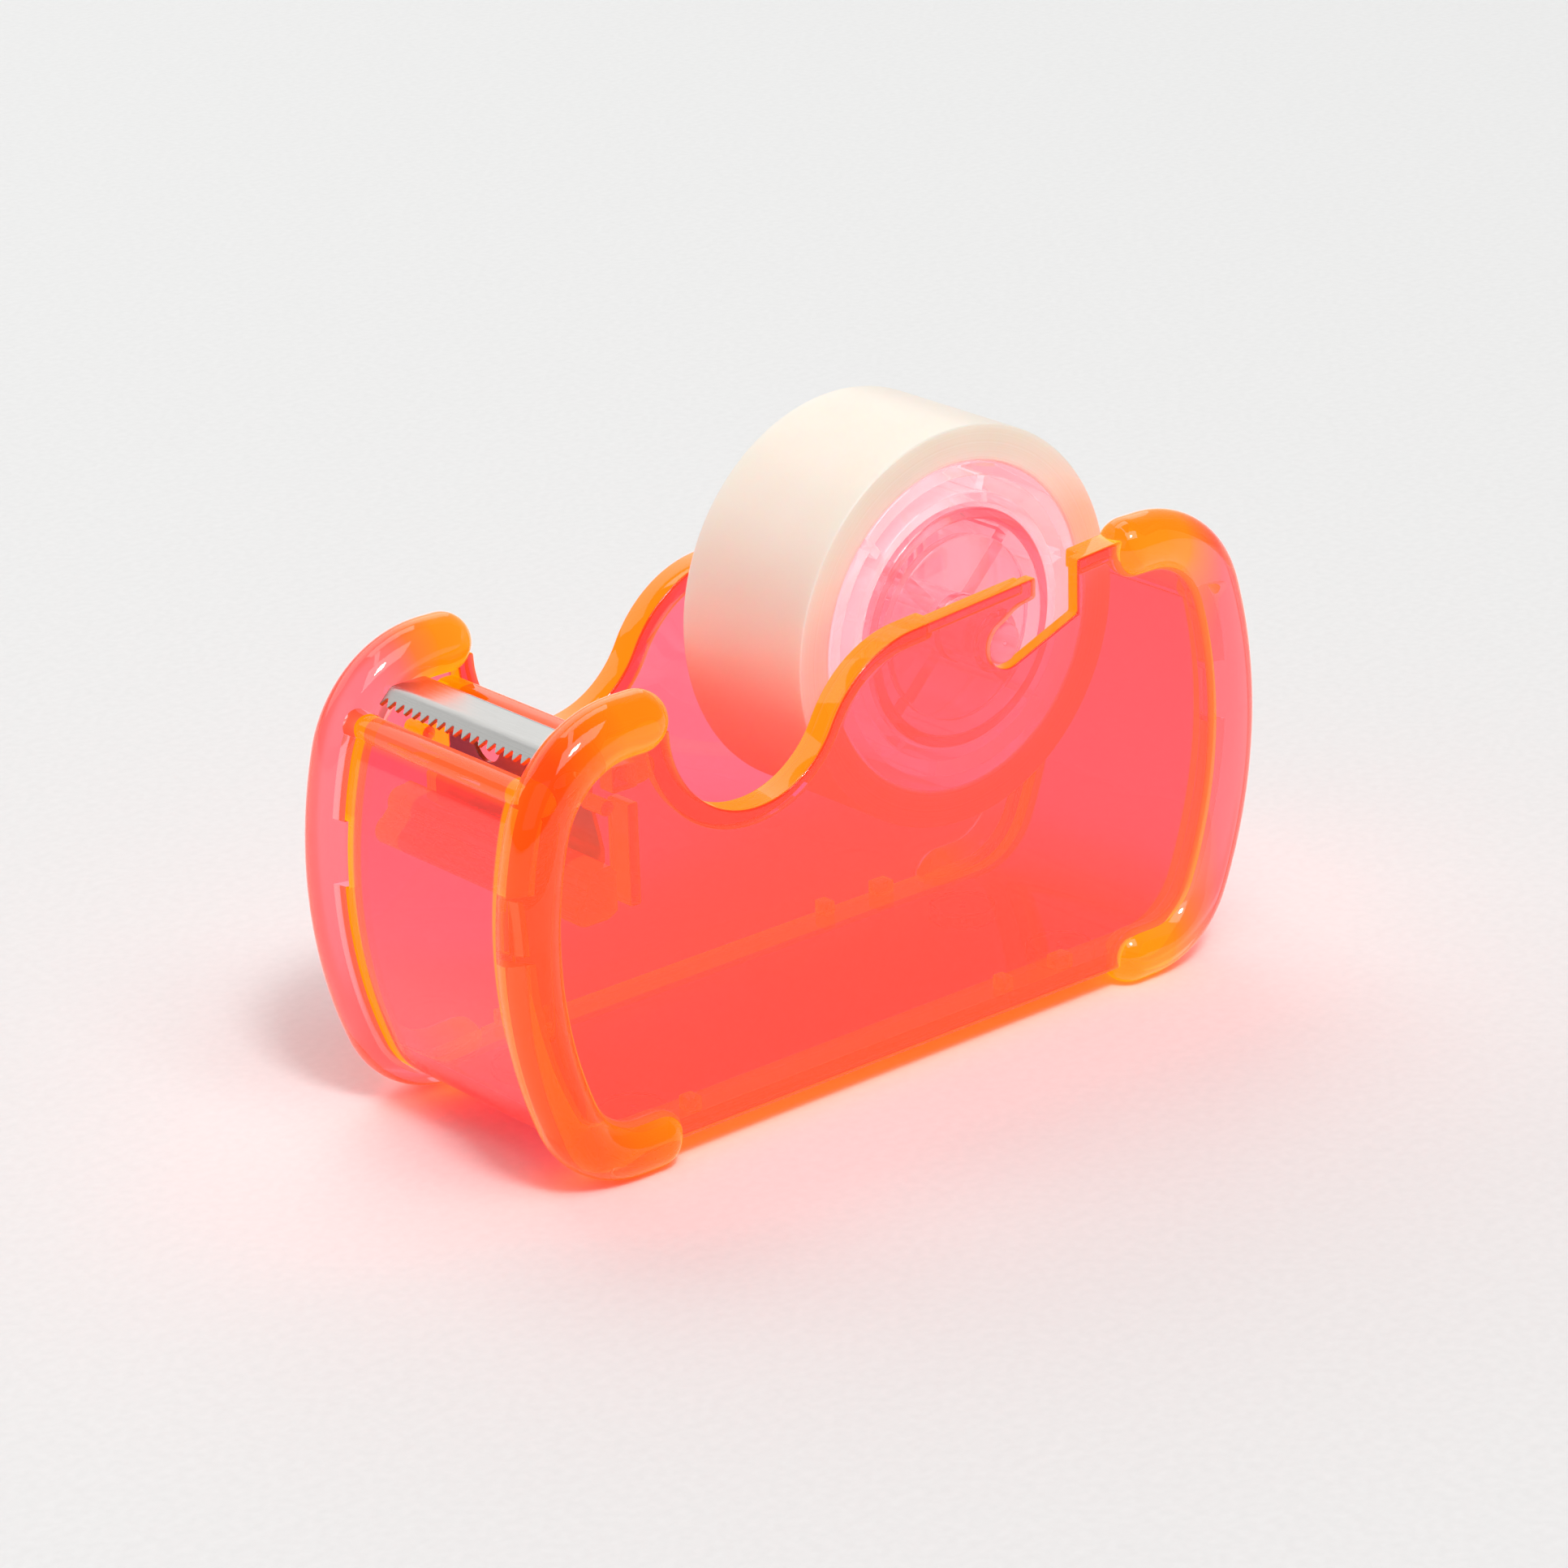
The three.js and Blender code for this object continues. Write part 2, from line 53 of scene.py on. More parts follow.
PANEL_IN, PANEL_T = 15.1, 1.6
PANEL_OUTSET = 0.5  # how far a panel's edge stands outside the bumpers' axis
RIM_DEPTH, RIM_H = 1.7, 2.0
RIM_SETBACK = 1.3  # from the slot's mouth to the rim behind it
FINGER_ROOT = 9.5  # from the axle to the front end of the finger above the slot
FINGER_DEPTH, FINGER_H = 0.6, 1.5  # the finger's thicker top
VALLEY_X, VALLEY_Z, VALLEY_R = -18.8, 45.0, 10.7
SHOULDER_X, SHOULDER_R = 2.6, 13.5
PLATEAU = math.radians(4.5)

HUB_X, HUB_Z = 14.3, 42.3  # the axle's seat
AXLE_R, SLOT_GAP = 2.2, 0.25
RAMP = math.radians(20.6)
MOUTH_FRONT, MOUTH_REAR = 3.8, 9.5  # from the axle to the edges of the slot's mouth
FINGER_HOLLOW = 0.35

WALL_OUT, WALL_T = 1.0, 2.0  # the walls' outer face, outside the bumpers' axis, and their thickness
CHANNEL_Y = 14.8
GROOVE_Y = 14.0  # how far the channel's walls reach into the bumpers
FRONT_TOP, REAR_TOP, BEAD_R = 41.0, 40.2, 1.5
GROOVE_GAP = 0.12
TAB_LOW, TAB_HIGH = 25.6, 32.3  # where a solid tab of the bumper breaks the groove
SLIT_W, SLIT_INSET, SLIT_MARGIN = 0.34, 0.9, 0.7  # the slit in that tab
CLEAR_XZ, CLEAR_Y = 60.0, 16.0  # where cutting shapes end, outside the channel


# ---------- outlines ----------
def arc(cx, cz, r, a0, a1, step=0.45):
    n = max(3, int(abs(a1 - a0) * r / step) + 1)
    angles = [a0 + (a1 - a0) * i / n for i in range(n + 1)]
    return [(cx + r * math.cos(a), cz + r * math.sin(a)) for a in angles]


def end_arcs(side, offset):
    """One end of the side outline: its two corners, then the long curve's x and radius, and the top."""
    ax = LENGTH / 2 - TUBE_R
    top = (FRONT_H if side < 0 else REAR_H) - TUBE_R
    top_r = FRONT_TOP_R if side < 0 else REAR_TOP_R
    bx = side * (ax - BULGE_R)

    def corner(r, z):
        run = math.sqrt((BULGE_R - r) ** 2 - (z - BULGE_Z) ** 2)
        x = bx + side * run
        meet = math.atan2(z - BULGE_Z, x - bx)
        return x, z, r + offset, meet % (2 * math.pi) if side < 0 else meet

    return corner(top_r, top - top_r), corner(BOTTOM_R, TUBE_R + BOTTOM_R), bx, BULGE_R + offset, top + offset


def end_path(side, offset, step=0.45):
    """One end curve of the side outline: the front from top to bottom, or the rear from bottom to top."""
    upper, lower, bx, br, top = end_arcs(side, offset)
    if side < 0:
        pts = arc(*upper[:3], math.pi / 2, upper[3], step)
        pts += arc(bx, BULGE_Z, br, upper[3], lower[3], step)[1:]
        pts += arc(*lower[:3], lower[3], 1.5 * math.pi, step)[1:]
    else:
        pts = arc(*lower[:3], -math.pi / 2, lower[3], step)
        pts += arc(bx, BULGE_Z, br, lower[3], upper[3], step)[1:]
        pts += arc(*upper[:3], upper[3], math.pi / 2, step)[1:]
    return pts


def subdivide(a, b, step=1.0):
    n = max(1, int(math.dist(a, b) / step))
    return [(a[0] + (b[0] - a[0]) * i / n, a[1] + (b[1] - a[1]) * i / n) for i in range(n + 1)]


def axis_x(side, z):
    """x of a bumper's axis at height z."""
    upper, _, bx, br, _ = end_arcs(side, 0)
    meet = upper[1] + upper[2] * math.sin(upper[3])
    if z > meet:
        return upper[0] + side * math.sqrt(upper[2] ** 2 - (z - upper[1]) ** 2)
    return bx + side * math.sqrt(br ** 2 - (z - BULGE_Z) ** 2)


def shoulder(drop):
    """The shoulder's centre height and radius, and the point where the plateau begins, lowered by drop."""
    sz = VALLEY_Z - math.sqrt((VALLEY_R + SHOULDER_R) ** 2 - (SHOULDER_X - VALLEY_X) ** 2)
    r = SHOULDER_R - drop
    return sz, r, SHOULDER_X - r * math.sin(PLATEAU), sz + r * math.cos(PLATEAU)


def plateau_z(x, drop=0.0):
    _, _, x0, z0 = shoulder(drop)
    return z0 + (x - x0) * math.tan(PLATEAU)


def wave(drop, x_from):
    """The panels' top line from x_from on the plateau to the front edge of the valley, lowered by drop."""
    sz, r, x0, z0 = shoulder(drop)
    meet = math.atan2(VALLEY_Z - sz, VALLEY_X - SHOULDER_X)
    pts = subdivide((x_from, plateau_z(x_from, drop)), (x0, z0))[:-1]
    pts += arc(SHOULDER_X, sz, r, math.pi / 2 + PLATEAU, meet)
    pts += arc(VALLEY_X, VALLEY_Z, VALLEY_R + drop, meet - math.pi, -math.pi)[1:]
    return pts


def slot_path():
    """The slot's edge from the rear side of its mouth, round the axle's seat, to the front side."""
    r = AXLE_R + SLOT_GAP
    lift = r / math.cos(RAMP)
    rear, front = HUB_X + MOUTH_REAR, HUB_X + MOUTH_FRONT
    pts = [(rear, HUB_Z + MOUTH_REAR * math.tan(RAMP) - lift)]
    pts += arc(HUB_X, HUB_Z, r, RAMP - math.pi / 2, RAMP - 1.5 * math.pi, 0.25)
    # the finger above the ramp has a shallow hollow, so that the axle snaps past it
    a = pts[-1]
    b = (front, HUB_Z + MOUTH_FRONT * math.tan(RAMP) + lift)
    d = Vector((b[0] - a[0], b[1] - a[1]))
    n = Vector((-d.y, d.x)).normalized()
    for i in range(1, 12):
        t = i / 12
        hollow = FINGER_HOLLOW * math.sin(math.pi * t) ** 2
        pts.append((a[0] + d.x * t + n.x * hollow, a[1] + d.y * t + n.y * hollow))
    pts.append(b)
    return pts


def fillet(points, r, n=5, least=math.radians(20)):
    """A closed outline with its sharp corners rounded."""
    out = []
    count = len(points)
    for i, p in enumerate(points):
        a, b = Vector(points[i - 1]), Vector(points[(i + 1) % count])
        p = Vector(p)
        u, v = a - p, b - p
        turn = math.pi - u.angle(v)
        if turn < least:
            out.append(tuple(p))
            continue
        cut = min(r * math.tan(turn / 2), 0.45 * u.length, 0.45 * v.length)
        s, e = p + u.normalized() * cut, p + v.normalized() * cut
        for k in range(n + 1):
            t = k / n
            q = s * (1 - t) ** 2 + p * 2 * t * (1 - t) + e * t ** 2
            out.append(tuple(q))
    return out


# ---------- meshes ----------
def mesh_object(name, verts, faces):
    mesh = bpy.data.meshes.new(name)
    mesh.from_pydata([(x * MM, y * MM, z * MM) for x, y, z in verts], [], faces)
    bm = bmesh.new()
    bm.from_mesh(mesh)
    bmesh.ops.remove_doubles(bm, verts=bm.verts, dist=1e-7)
    bmesh.ops.recalc_face_normals(bm, faces=bm.faces)
    bm.to_mesh(mesh)
    bm.free()
    ob = bpy.data.objects.new(name, mesh)
    bpy.context.scene.collection.objects.link(ob)
    return ob


def bake(ob):
    """Applies the modifiers."""
    bpy.context.view_layer.update()
    dg = bpy.context.evaluated_depsgraph_get()
    mesh = bpy.data.meshes.new_from_object(ob.evaluated_get(dg))
    ob.modifiers.clear()
    old = ob.data
    ob.data = mesh
    mesh.name = ob.name
    bpy.data.meshes.remove(old)
    return ob


def boolean(ob, *others, operation="DIFFERENCE"):
    for other in others:
        m = ob.modifiers.new("cut", "BOOLEAN")
        m.operation, m.solver, m.object = operation, "EXACT", other
        bake(ob)
        mesh = other.data
        bpy.data.objects.remove(other)
        bpy.data.meshes.remove(mesh)
    return ob


def bevel(ob, width, segments=3, angle=40):
    m = ob.modifiers.new("bevel", "BEVEL")
    m.width, m.segments = width * MM, segments
    m.limit_method, m.angle_limit = "ANGLE", math.radians(angle)
    m.use_clamp_overlap = True
    return bake(ob)


def finish_mesh(ob, angle=38):
    """Smooth faces, with sharp edges kept and large flat faces left flat."""
    for p in ob.data.polygons:
        p.use_smooth = True
    ob.data.set_sharp_from_angle(angle=math.radians(angle))
    m = ob.modifiers.new("normals", "WEIGHTED_NORMAL")
    m.keep_sharp = True
    m.weight = 90
    return bake(ob)


def prism(name, outline, y0, y1):
    n = len(outline)
    verts = [(x, y0, z) for x, z in outline] + [(x, y1, z) for x, z in outline]
    faces = [list(range(n)), list(range(2 * n - 1, n - 1, -1))]
    faces += [[i, (i + 1) % n, n + (i + 1) % n, n + i] for i in range(n)]
    return mesh_object(name, verts, faces)


def box(name, x0, x1, y0, y1, z0, z1):
    return prism(name, [(x0, z0), (x1, z0), (x1, z1), (x0, z1)], y0, y1)


def tube(name, pts, y, radius, sides=44, cap=9):
    """A round bar along points in the XZ plane, with ball ends."""
    rows, tangents = [], []
    count = len(pts)
    for i in range(count):
        a, b = Vector(pts[max(i - 1, 0)]), Vector(pts[min(i + 1, count - 1)])
        tangents.append((b - a).normalized())
    rings = []
    for k in range(1, cap):
        a = math.pi / 2 * (1 - k / cap)
        centre = Vector(pts[0]) - tangents[0] * radius * math.sin(a)
        rings.append((centre, tangents[0], radius * math.cos(a)))
    rings += [(Vector(p), t, radius) for p, t in zip(pts, tangents)]
    for k in range(cap - 1, 0, -1):
        a = math.pi / 2 * (1 - k / cap)
        centre = Vector(pts[-1]) + tangents[-1] * radius * math.sin(a)
        rings.append((centre, tangents[-1], radius * math.cos(a)))
    verts = []
    for centre, t, r in rings:
        row = []
        for s in range(sides):
            a = 2 * math.pi * s / sides
            row.append(len(verts))
            out = r * math.cos(a)
            verts.append((centre.x - t.y * out, y + r * math.sin(a), centre.y + t.x * out))
        rows.append(row)
    faces = [[r0[s], r0[(s + 1) % sides], r1[(s + 1) % sides], r1[s]]
             for r0, r1 in zip(rows, rows[1:]) for s in range(sides)]
    for row, p, t, sign in ((rows[0], pts[0], tangents[0], -1), (rows[-1], pts[-1], tangents[-1], 1)):
        tip = len(verts)
        q = Vector(p) + t * radius * sign
        verts.append((q.x, y, q.y))
        faces += [[row[s], row[(s + 1) % sides], tip] for s in range(sides)]
    return mesh_object(name, verts, faces)


def lathe(name, profile, segments=96, x=HUB_X, z=HUB_Z):
    """A closed outline of (radius, y) turned about the axis parallel to Y at x, z."""
    verts, rows = [], []
    for r, y in profile:
        if r < 1e-6:
            rows.append([len(verts)])
            verts.append((x, y, z))
            continue
        row = []
        for s in range(segments):
            a = 2 * math.pi * s / segments
            row.append(len(verts))
            verts.append((x + r * math.cos(a), y, z + r * math.sin(a)))
        rows.append(row)
    faces = []
    for i, r0 in enumerate(rows):
        r1 = rows[(i + 1) % len(rows)]
        if len(r0) == 1 and len(r1) == 1:
            continue
        for s in range(segments):
            t = (s + 1) % segments
            if len(r0) == 1:
                faces.append([r0[0], r1[t], r1[s]])
            elif len(r1) == 1:
                faces.append([r0[s], r0[t], r1[0]])
            else:
                faces.append([r0[s], r0[t], r1[t], r1[s]])
    return mesh_object(name, verts, faces)


def mirrored(ob, name):
    """The same piece on the other side of the middle plane."""
    mesh = ob.data.copy()
    mesh.transform(Matrix.Scale(-1, 4, Vector((0, 1, 0))))
    mesh.flip_normals()
    twin = bpy.data.objects.new(name, mesh)
    bpy.context.scene.collection.objects.link(twin)
    return twin


def joined(ob, *others):
    """ob with the others' meshes added as further closed shells."""
    bm = bmesh.new()
    bm.from_mesh(ob.data)
    for other in others:
        bm.from_mesh(other.data)
    bm.to_mesh(ob.data)
    bm.free()
    for other in others:
        mesh = other.data
        bpy.data.objects.remove(other)
        bpy.data.meshes.remove(mesh)
    return ob


# ---------- the side panels ----------
EDGE_ROUND = 0.28
STAND_OFF = 0.02  # between a panel and the small shapes on it, so that no two faces coincide
LEG_X = -35.0  # the middle of the blade's leg
LEG_RIB = (LEG_X + 0.8, LEG_X + 2.1, 28.0, 38.5)
RIB_DEPTH, CROSS_DEPTH = 3.3, 2.2
PEG_X, PEG_Z, PEG_R, PEG_END = LEG_X - 1.6, 38.8, 0.8, 11.8


def make_panel(name):
    """The near panel: a plate with the slot, and a thicker rim along its wavy top."""
    rear = end_path(1, PANEL_OUTSET)
    front = end_path(-1, PANEL_OUTSET)
    mouth_rear, mouth_front = HUB_X + MOUTH_REAR, HUB_X + MOUTH_FRONT
    seat_rear = mouth_rear + RIM_SETBACK
    seat_front = HUB_X - FINGER_ROOT
    plate = [front[-1]] + rear
    # the plateau behind the slot, with its rim
    rim_b0 = len(plate)
    plateau_end = TUBE_END - 1
    plate += subdivide((plateau_end, plateau_z(plateau_end)), (seat_rear, plateau_z(seat_rear)))
    rim_b1 = len(plate) - 1
    plate.append((mouth_rear, plateau_z(mouth_rear)))
    plate += slot_path()
    plate.append((mouth_front, plateau_z(mouth_front)))
    tip = mouth_front - 0.8  # the finger's top edge starts behind its rounded corner
    plate += subdivide((tip, plateau_z(tip)), (seat_front, plateau_z(seat_front)))[:-1]
    rim_a0 = len(plate)
    plate += wave(0, seat_front)
    rim_a1 = len(plate) - 1
    plate += front[:-1]
    inner_a = wave(RIM_H, seat_front)
    inner_b = subdivide((plateau_end, plateau_z(plateau_end, RIM_H)),
                        (seat_rear, plateau_z(seat_rear, RIM_H)))

    out_y, mid_y, in_y = -(PANEL_IN + PANEL_T), -PANEL_IN, -(PANEL_IN - RIM_DEPTH)
    verts, n = [], len(plate)
    verts += [(x, out_y, z) for x, z in plate] + [(x, mid_y, z) for x, z in plate]
    faces = [list(range(n))]
    faces += [[i, (i + 1) % n, n + (i + 1) % n, n + i] for i in range(n)]
    # the inner face goes round below each rim, and the rim's own faces are added as it is passed
    inner_cap = []
    spans = {rim_b0: (rim_b1, inner_b), rim_a0: (rim_a1, inner_a)}
    i = 0
    while i < n:
        inner_cap.append(n + i)
        if i in spans:
            last, low = spans[i]
            mid = [len(verts) + k for k in range(len(low))]
            verts += [(x, mid_y, z) for x, z in low]
            deep_low = [len(verts) + k for k in range(len(low))]
            verts += [(x, in_y, z) for x, z in low]
            top = plate[i:last + 1]
            deep_top = [len(verts) + k for k in range(len(top))]
            verts += [(x, in_y, z) for x, z in top]
            inner_cap += mid
            faces.append(deep_top + deep_low[::-1])
            faces += [[n + i + k, n + i + k + 1, deep_top[k + 1], deep_top[k]] for k in range(len(top) - 1)]
            faces += [[mid[k], mid[k + 1], deep_low[k + 1], deep_low[k]] for k in range(len(low) - 1)]
            faces.append([n + i, mid[0], deep_low[0], deep_top[0]])
            faces.append([n + last, mid[-1], deep_low[-1], deep_top[-1]])
            i = last
            inner_cap.append(n + i)
        i += 1
    faces.append(inner_cap)
    panel = mesh_object(name, verts, faces)
    bevel(panel, EDGE_ROUND, 3, 45)
    # the finger above the slot is thicker along its top, but clears the end of the hub
    x0, x1, top = seat_front - 0.3, mouth_front - 1.1, 0.04
    edge = [(x0, plateau_z(x0, top)), (x0, plateau_z(x0, FINGER_H)),
            (x1, plateau_z(x1, FINGER_H)), (x1, plateau_z(x1, top))]
    finger = bevel(prism("finger", edge, -PANEL_IN - 0.5, -PANEL_IN + FINGER_DEPTH), 0.25)
    boolean(panel, finger, operation="UNION")
    for side in (-1, 1):
        boolean(panel, bumper_tube("cutter", side, TUBE_R + TUBE_GAP, 30))
    # the rib behind the blade's leg, the peg in front of it and the short bar above them
    x0, x1, z0, z1 = LEG_RIB
    foot = -PANEL_IN + STAND_OFF
    rib = bevel(box("rib", x0, x1, foot, -PANEL_IN + RIB_DEPTH, z0, z1), 0.25)
    peg_line = fillet([(0, foot), (PEG_R, foot), (PEG_R, -PEG_END), (0, -PEG_END)], 0.3, 4)
    peg = lathe("peg", peg_line, 24, PEG_X, PEG_Z)
    cross = bevel(box("cross", LEG_X - 0.9, LEG_X + 2.2, foot, -PANEL_IN + CROSS_DEPTH, 40.0, 42.6), 0.3)
    joined(panel, rib, peg, cross)
    return finish_mesh(panel)


# ---------- the bumpers ----------
def bumper_tube(name, side, radius, sides=44):
    pts = end_path(side, 0, 0.7)
    ends = [(side * TUBE_END, (FRONT_H if side < 0 else REAR_H) - TUBE_R), (side * TUBE_END, TUBE_R)]
    if side < 0:
        pts = subdivide(ends[0], pts[0])[:-1] + pts + subdivide(pts[-1], ends[1])[1:]
    else:
        pts = subdivide(ends[1], pts[0])[:-1] + pts + subdivide(pts[-1], ends[0])[1:]
    return tube(name, pts, -TUBE_Y, radius, sides)


def channel_outline(grow=0.0):
    """The channel's section: front wall, floor and rear wall, with a round bead along both tops."""
    outer = end_path(-1, WALL_OUT + grow) + end_path(1, WALL_OUT + grow)
    inner = end_path(-1, WALL_OUT - WALL_T - grow) + end_path(1, WALL_OUT - WALL_T - grow)
    tops = {-1: (axis_x(-1, FRONT_TOP), FRONT_TOP), 1: (axis_x(1, REAR_TOP), REAR_TOP)}
    r = BEAD_R + grow

    def keep(pts):
        below = [p for p in pts if p[1] < tops[-1 if p[0] < 0 else 1][1]]
        return [p for p in below if min(math.dist(p, tops[-1]), math.dist(p, tops[1])) > r]

    outer, inner = keep(outer), keep(inner)

    def over(side, start, end):
        """The bead's arc from one face of the wall to the other."""
        cx, cz = tops[side]
        a0 = math.atan2(start[1] - cz, start[0] - cx)
        a1 = math.atan2(end[1] - cz, end[0] - cx)
        if a1 < a0:
            a1 += 2 * math.pi
        return arc(cx, cz, r, a0, a1, 0.3)

    rear_cap = over(1, outer[-1], inner[-1])
    front_cap = over(-1, inner[0], outer[0])
    return outer + rear_cap + inner[::-1] + front_cap


def make_bumper(name, side):
    """A near bumper, with the groove that holds the channel's wall and the tab that breaks it."""
    ob = bumper_tube(name, side, TUBE_R)
    groove = prism("groove", channel_outline(GROOVE_GAP), -(GROOVE_Y + GROOVE_GAP), -9.0)
    x0, x1 = sorted((side * CLEAR_XZ, side * 20))
    boolean(groove, box("tab", x0, x1, -CLEAR_Y, -8, TAB_LOW, TAB_HIGH))
    boolean(ob, groove)
    x = axis_x(side, 29) - side * SLIT_INSET
    low, high = TAB_LOW + SLIT_MARGIN, TAB_HIGH - SLIT_MARGIN
    boolean(ob, box("slit", x - SLIT_W / 2, x + SLIT_W / 2, -13.7, -10, low, high))
    return finish_mesh(ob, 32)


STEP_X = 29.1  # |x| past which the walls are cut back to the bottoms of the grooves
NOTCH_Y = 11.85  # how far they are cut back beside the tabs
CLIPS = ((-26.8, 1.6), (15.0, 1.4), (23.0, 2.2))  # x and width of each clip along the floor's edges
CLIP_Y, CLIP_Z = (12.9, 14.7), (4.08, 5.6)


def make_channel(name):
    """The front wall, floor and rear wall in one, cut to fit the bumpers, with clips along the floor."""
    ob = prism(name, channel_outline(), -CHANNEL_Y, CHANNEL_Y)
    for s in (-1, 1):
        step_y = sorted((s * GROOVE_Y, s * CLEAR_Y))
        notch_y = sorted((s * NOTCH_Y, s * CLEAR_Y))
        for side in (-1, 1):
            x0, x1 = sorted((side * CLEAR_XZ, side * STEP_X))
            boolean(ob, box("step", x0, x1, *step_y, -1, CLEAR_XZ))
            boolean(ob, box("notch", x0, x1, *notch_y, TAB_LOW - GROOVE_GAP, TAB_HIGH + GROOVE_GAP))
    bevel(ob, 0.22, 2, 50)
    clips = []
    for x, w in CLIPS:
        for s in (-1, 1):
            y0, y1 = sorted((s * CLIP_Y[0], s * CLIP_Y[1]))
            clips.append(bevel(box("clip", x - w / 2, x + w / 2, y0, y1, *CLIP_Z), 0.2, 2))
    joined(ob, *clips)
    return finish_mesh(ob, 35)


# ---------- the blade and its bars ----------
TOOTH_PITCH, TOOTH_COUNT, TOOTH_DEPTH = 1.3, 18, 0.9
TOOTH_GAP = 0.05  # from a tooth's tip to the edge of its pitch
BLADE_T = 0.5
BLADE_CREASE_X, BLADE_REAR_X, BLADE_TOP = -41.1, -36.8, 45.0
BLADE_LIP, LIP_ANGLE = 2.1, math.radians(45)
BEND = 0.55  # from a fold's corner to where its curve begins
LEG_TOP, LEG_FOOT = 42.8, 30.0
HOLE_R, HOLE_Y, HOLE_Z = 2.1, 4.5, 39.6


def make_blade(name):
    """A toothed strip cut flat, then bent over its two folds and down into the leg."""
    line = [(BLADE_CREASE_X - BLADE_LIP * math.cos(LIP_ANGLE), BLADE_TOP - BLADE_LIP * math.sin(LIP_ANGLE)),
            (BLADE_CREASE_X, BLADE_TOP), (BLADE_REAR_X, BLADE_TOP),
            (LEG_X + BLADE_T / 2, LEG_TOP), (LEG_X + BLADE_T / 2, LEG_FOOT)]
    path = [line[0]]
    for a, p, b in zip(line, line[1:], line[2:]):
        a, p, b = Vector(a), Vector(p), Vector(b)
        s, e = p + (a - p).normalized() * BEND, p + (b - p).normalized() * BEND
        path += [tuple(s * (1 - t) ** 2 + p * 2 * t * (1 - t) + e * t * t) for t in [k / 8 for k in range(9)]]
    path.append(line[-1])
    run = [0.0]
    for a, b in zip(path, path[1:]):
        run.append(run[-1] + math.dist(a, b))
    total = run[-1]
    half = TOOTH_PITCH * TOOTH_COUNT / 2
    # one side of the leg: in below the flat top, and out again above its foot
    leg_top = run[-2] - 0.4
    edge = [(half, leg_top), (11.0, leg_top + 1.0), (10.5, leg_top + 3.6), (10.5, leg_top + 5.0),
            (12.0, leg_top + 9.4), (12.0, leg_top + 10.6), (11.0, total)]
    teeth, root = [], TOOTH_DEPTH * 0.94
    for i in range(TOOTH_COUNT):
        y = -half + i * TOOTH_PITCH
        teeth += [(y + TOOTH_GAP, 0.0), (y + TOOTH_PITCH * 0.42, root), (y + TOOTH_PITCH * 0.58, root),
                  (y + TOOTH_PITCH - TOOTH_GAP, 0.0)]
    side = fillet(edge + [(-y, s) for y, s in edge[::-1]] + [(-half, 1.0), (half, 1.0)], 0.8, 5)
    side = [p for p in side if p[1] > 1.3]
    right = sorted([p for p in side if p[0] > 0], key=lambda p: p[1])
    outline = teeth + [(half, TOOTH_GAP)] + right + [(-y, s) for y, s in right[::-1]] + [(-half, TOOTH_GAP)]
    # the flat blank: its outline is (run along the strip, y), with the thickness across it
    blank = prism(name, [(s, y) for y, s in outline], -BLADE_T / 2, BLADE_T / 2)
    hole_s = total - (HOLE_Z - LEG_FOOT)
    for s in (-1, 1):
        angles = [k * math.pi / 20 for k in range(40)]
        ring = [(hole_s + HOLE_R * math.cos(a), s * HOLE_Y + HOLE_R * math.sin(a)) for a in angles]
        boolean(blank, prism("hole", ring, -2, 2))
    bevel(blank, 0.05, 1, 50)
    # cut the blank at every bend, then lay it along the path
    bm = bmesh.new()
    bm.from_mesh(blank.data)
    for s in run[1:-1]:
        every = bm.verts[:] + bm.edges[:] + bm.faces[:]
        bmesh.ops.bisect_plane(bm, geom=every, plane_co=(s * MM, 0, 0), plane_no=(1, 0, 0))
    for v in bm.verts:
        s, h, y = v.co.x / MM, v.co.y / MM, v.co.z / MM
        k = max(0, min(len(path) - 2, next((i for i, r in enumerate(run) if r > s), len(run) - 1) - 1))
        a, b = Vector(path[k]), Vector(path[k + 1])
        t = (s - run[k]) / (run[k + 1] - run[k])
        d = (b - a).normalized()
        p = a + (b - a) * t
        n = Vector((-d.y, d.x))
        v.co = ((p.x + n.x * (h - BLADE_T / 2)) * MM, y * MM, (p.y + n.y * (h - BLADE_T / 2)) * MM)
    bmesh.ops.recalc_face_normals(bm, faces=bm.faces)
    bm.to_mesh(blank.data)
    bm.free()
    return finish_mesh(blank, 30)


def make_rest(name):
    x, z, r, reach = -32.3, 41.5, 1.5, 0.3
    outline = arc(x - reach, z, r, math.pi / 2, 1.5 * math.pi, 0.3)
    outline += arc(x + reach, z, r, -math.pi / 2, math.pi / 2, 0.3)
    return finish_mesh(bevel(prism(name, outline, -CHANNEL_Y, CHANNEL_Y), 0.5, 4, 50))


def make_support(name):
    low, high, r, x, back = 27.4, 32.8, 1.45, -38.0, -35.55
    outline = [(back, low + 0.6), (back, high - 0.8), (back - 0.8, high)]
    outline += arc(x + 0.36, high - r, r, math.pi / 2, math.pi * 1.08, 0.25)
    outline += arc(x - 1.3, low + r, r, math.pi * 0.62, math.pi * 1.5, 0.25)
    outline += [(back - 1.2, low)]
    return finish_mesh(bevel(prism(name, outline, -CHANNEL_Y, CHANNEL_Y), 0.3, 3, 50))


FOOT_X, FOOT_Y, FOOT_R, FOOT_H = 29, 7.5, 3.6, 1.75


def make_foot(name, x, y):
    ob = lathe(name, fillet([(0, 0), (FOOT_R, 0), (FOOT_R, FOOT_H), (0, FOOT_H)], 0.45, 5), 56, 0, 0)
    ob.data.transform(Matrix.Translation((x * MM, y * MM, 0)) @ Matrix.Rotation(math.pi / 2, 4, "X"))
    return finish_mesh(ob)


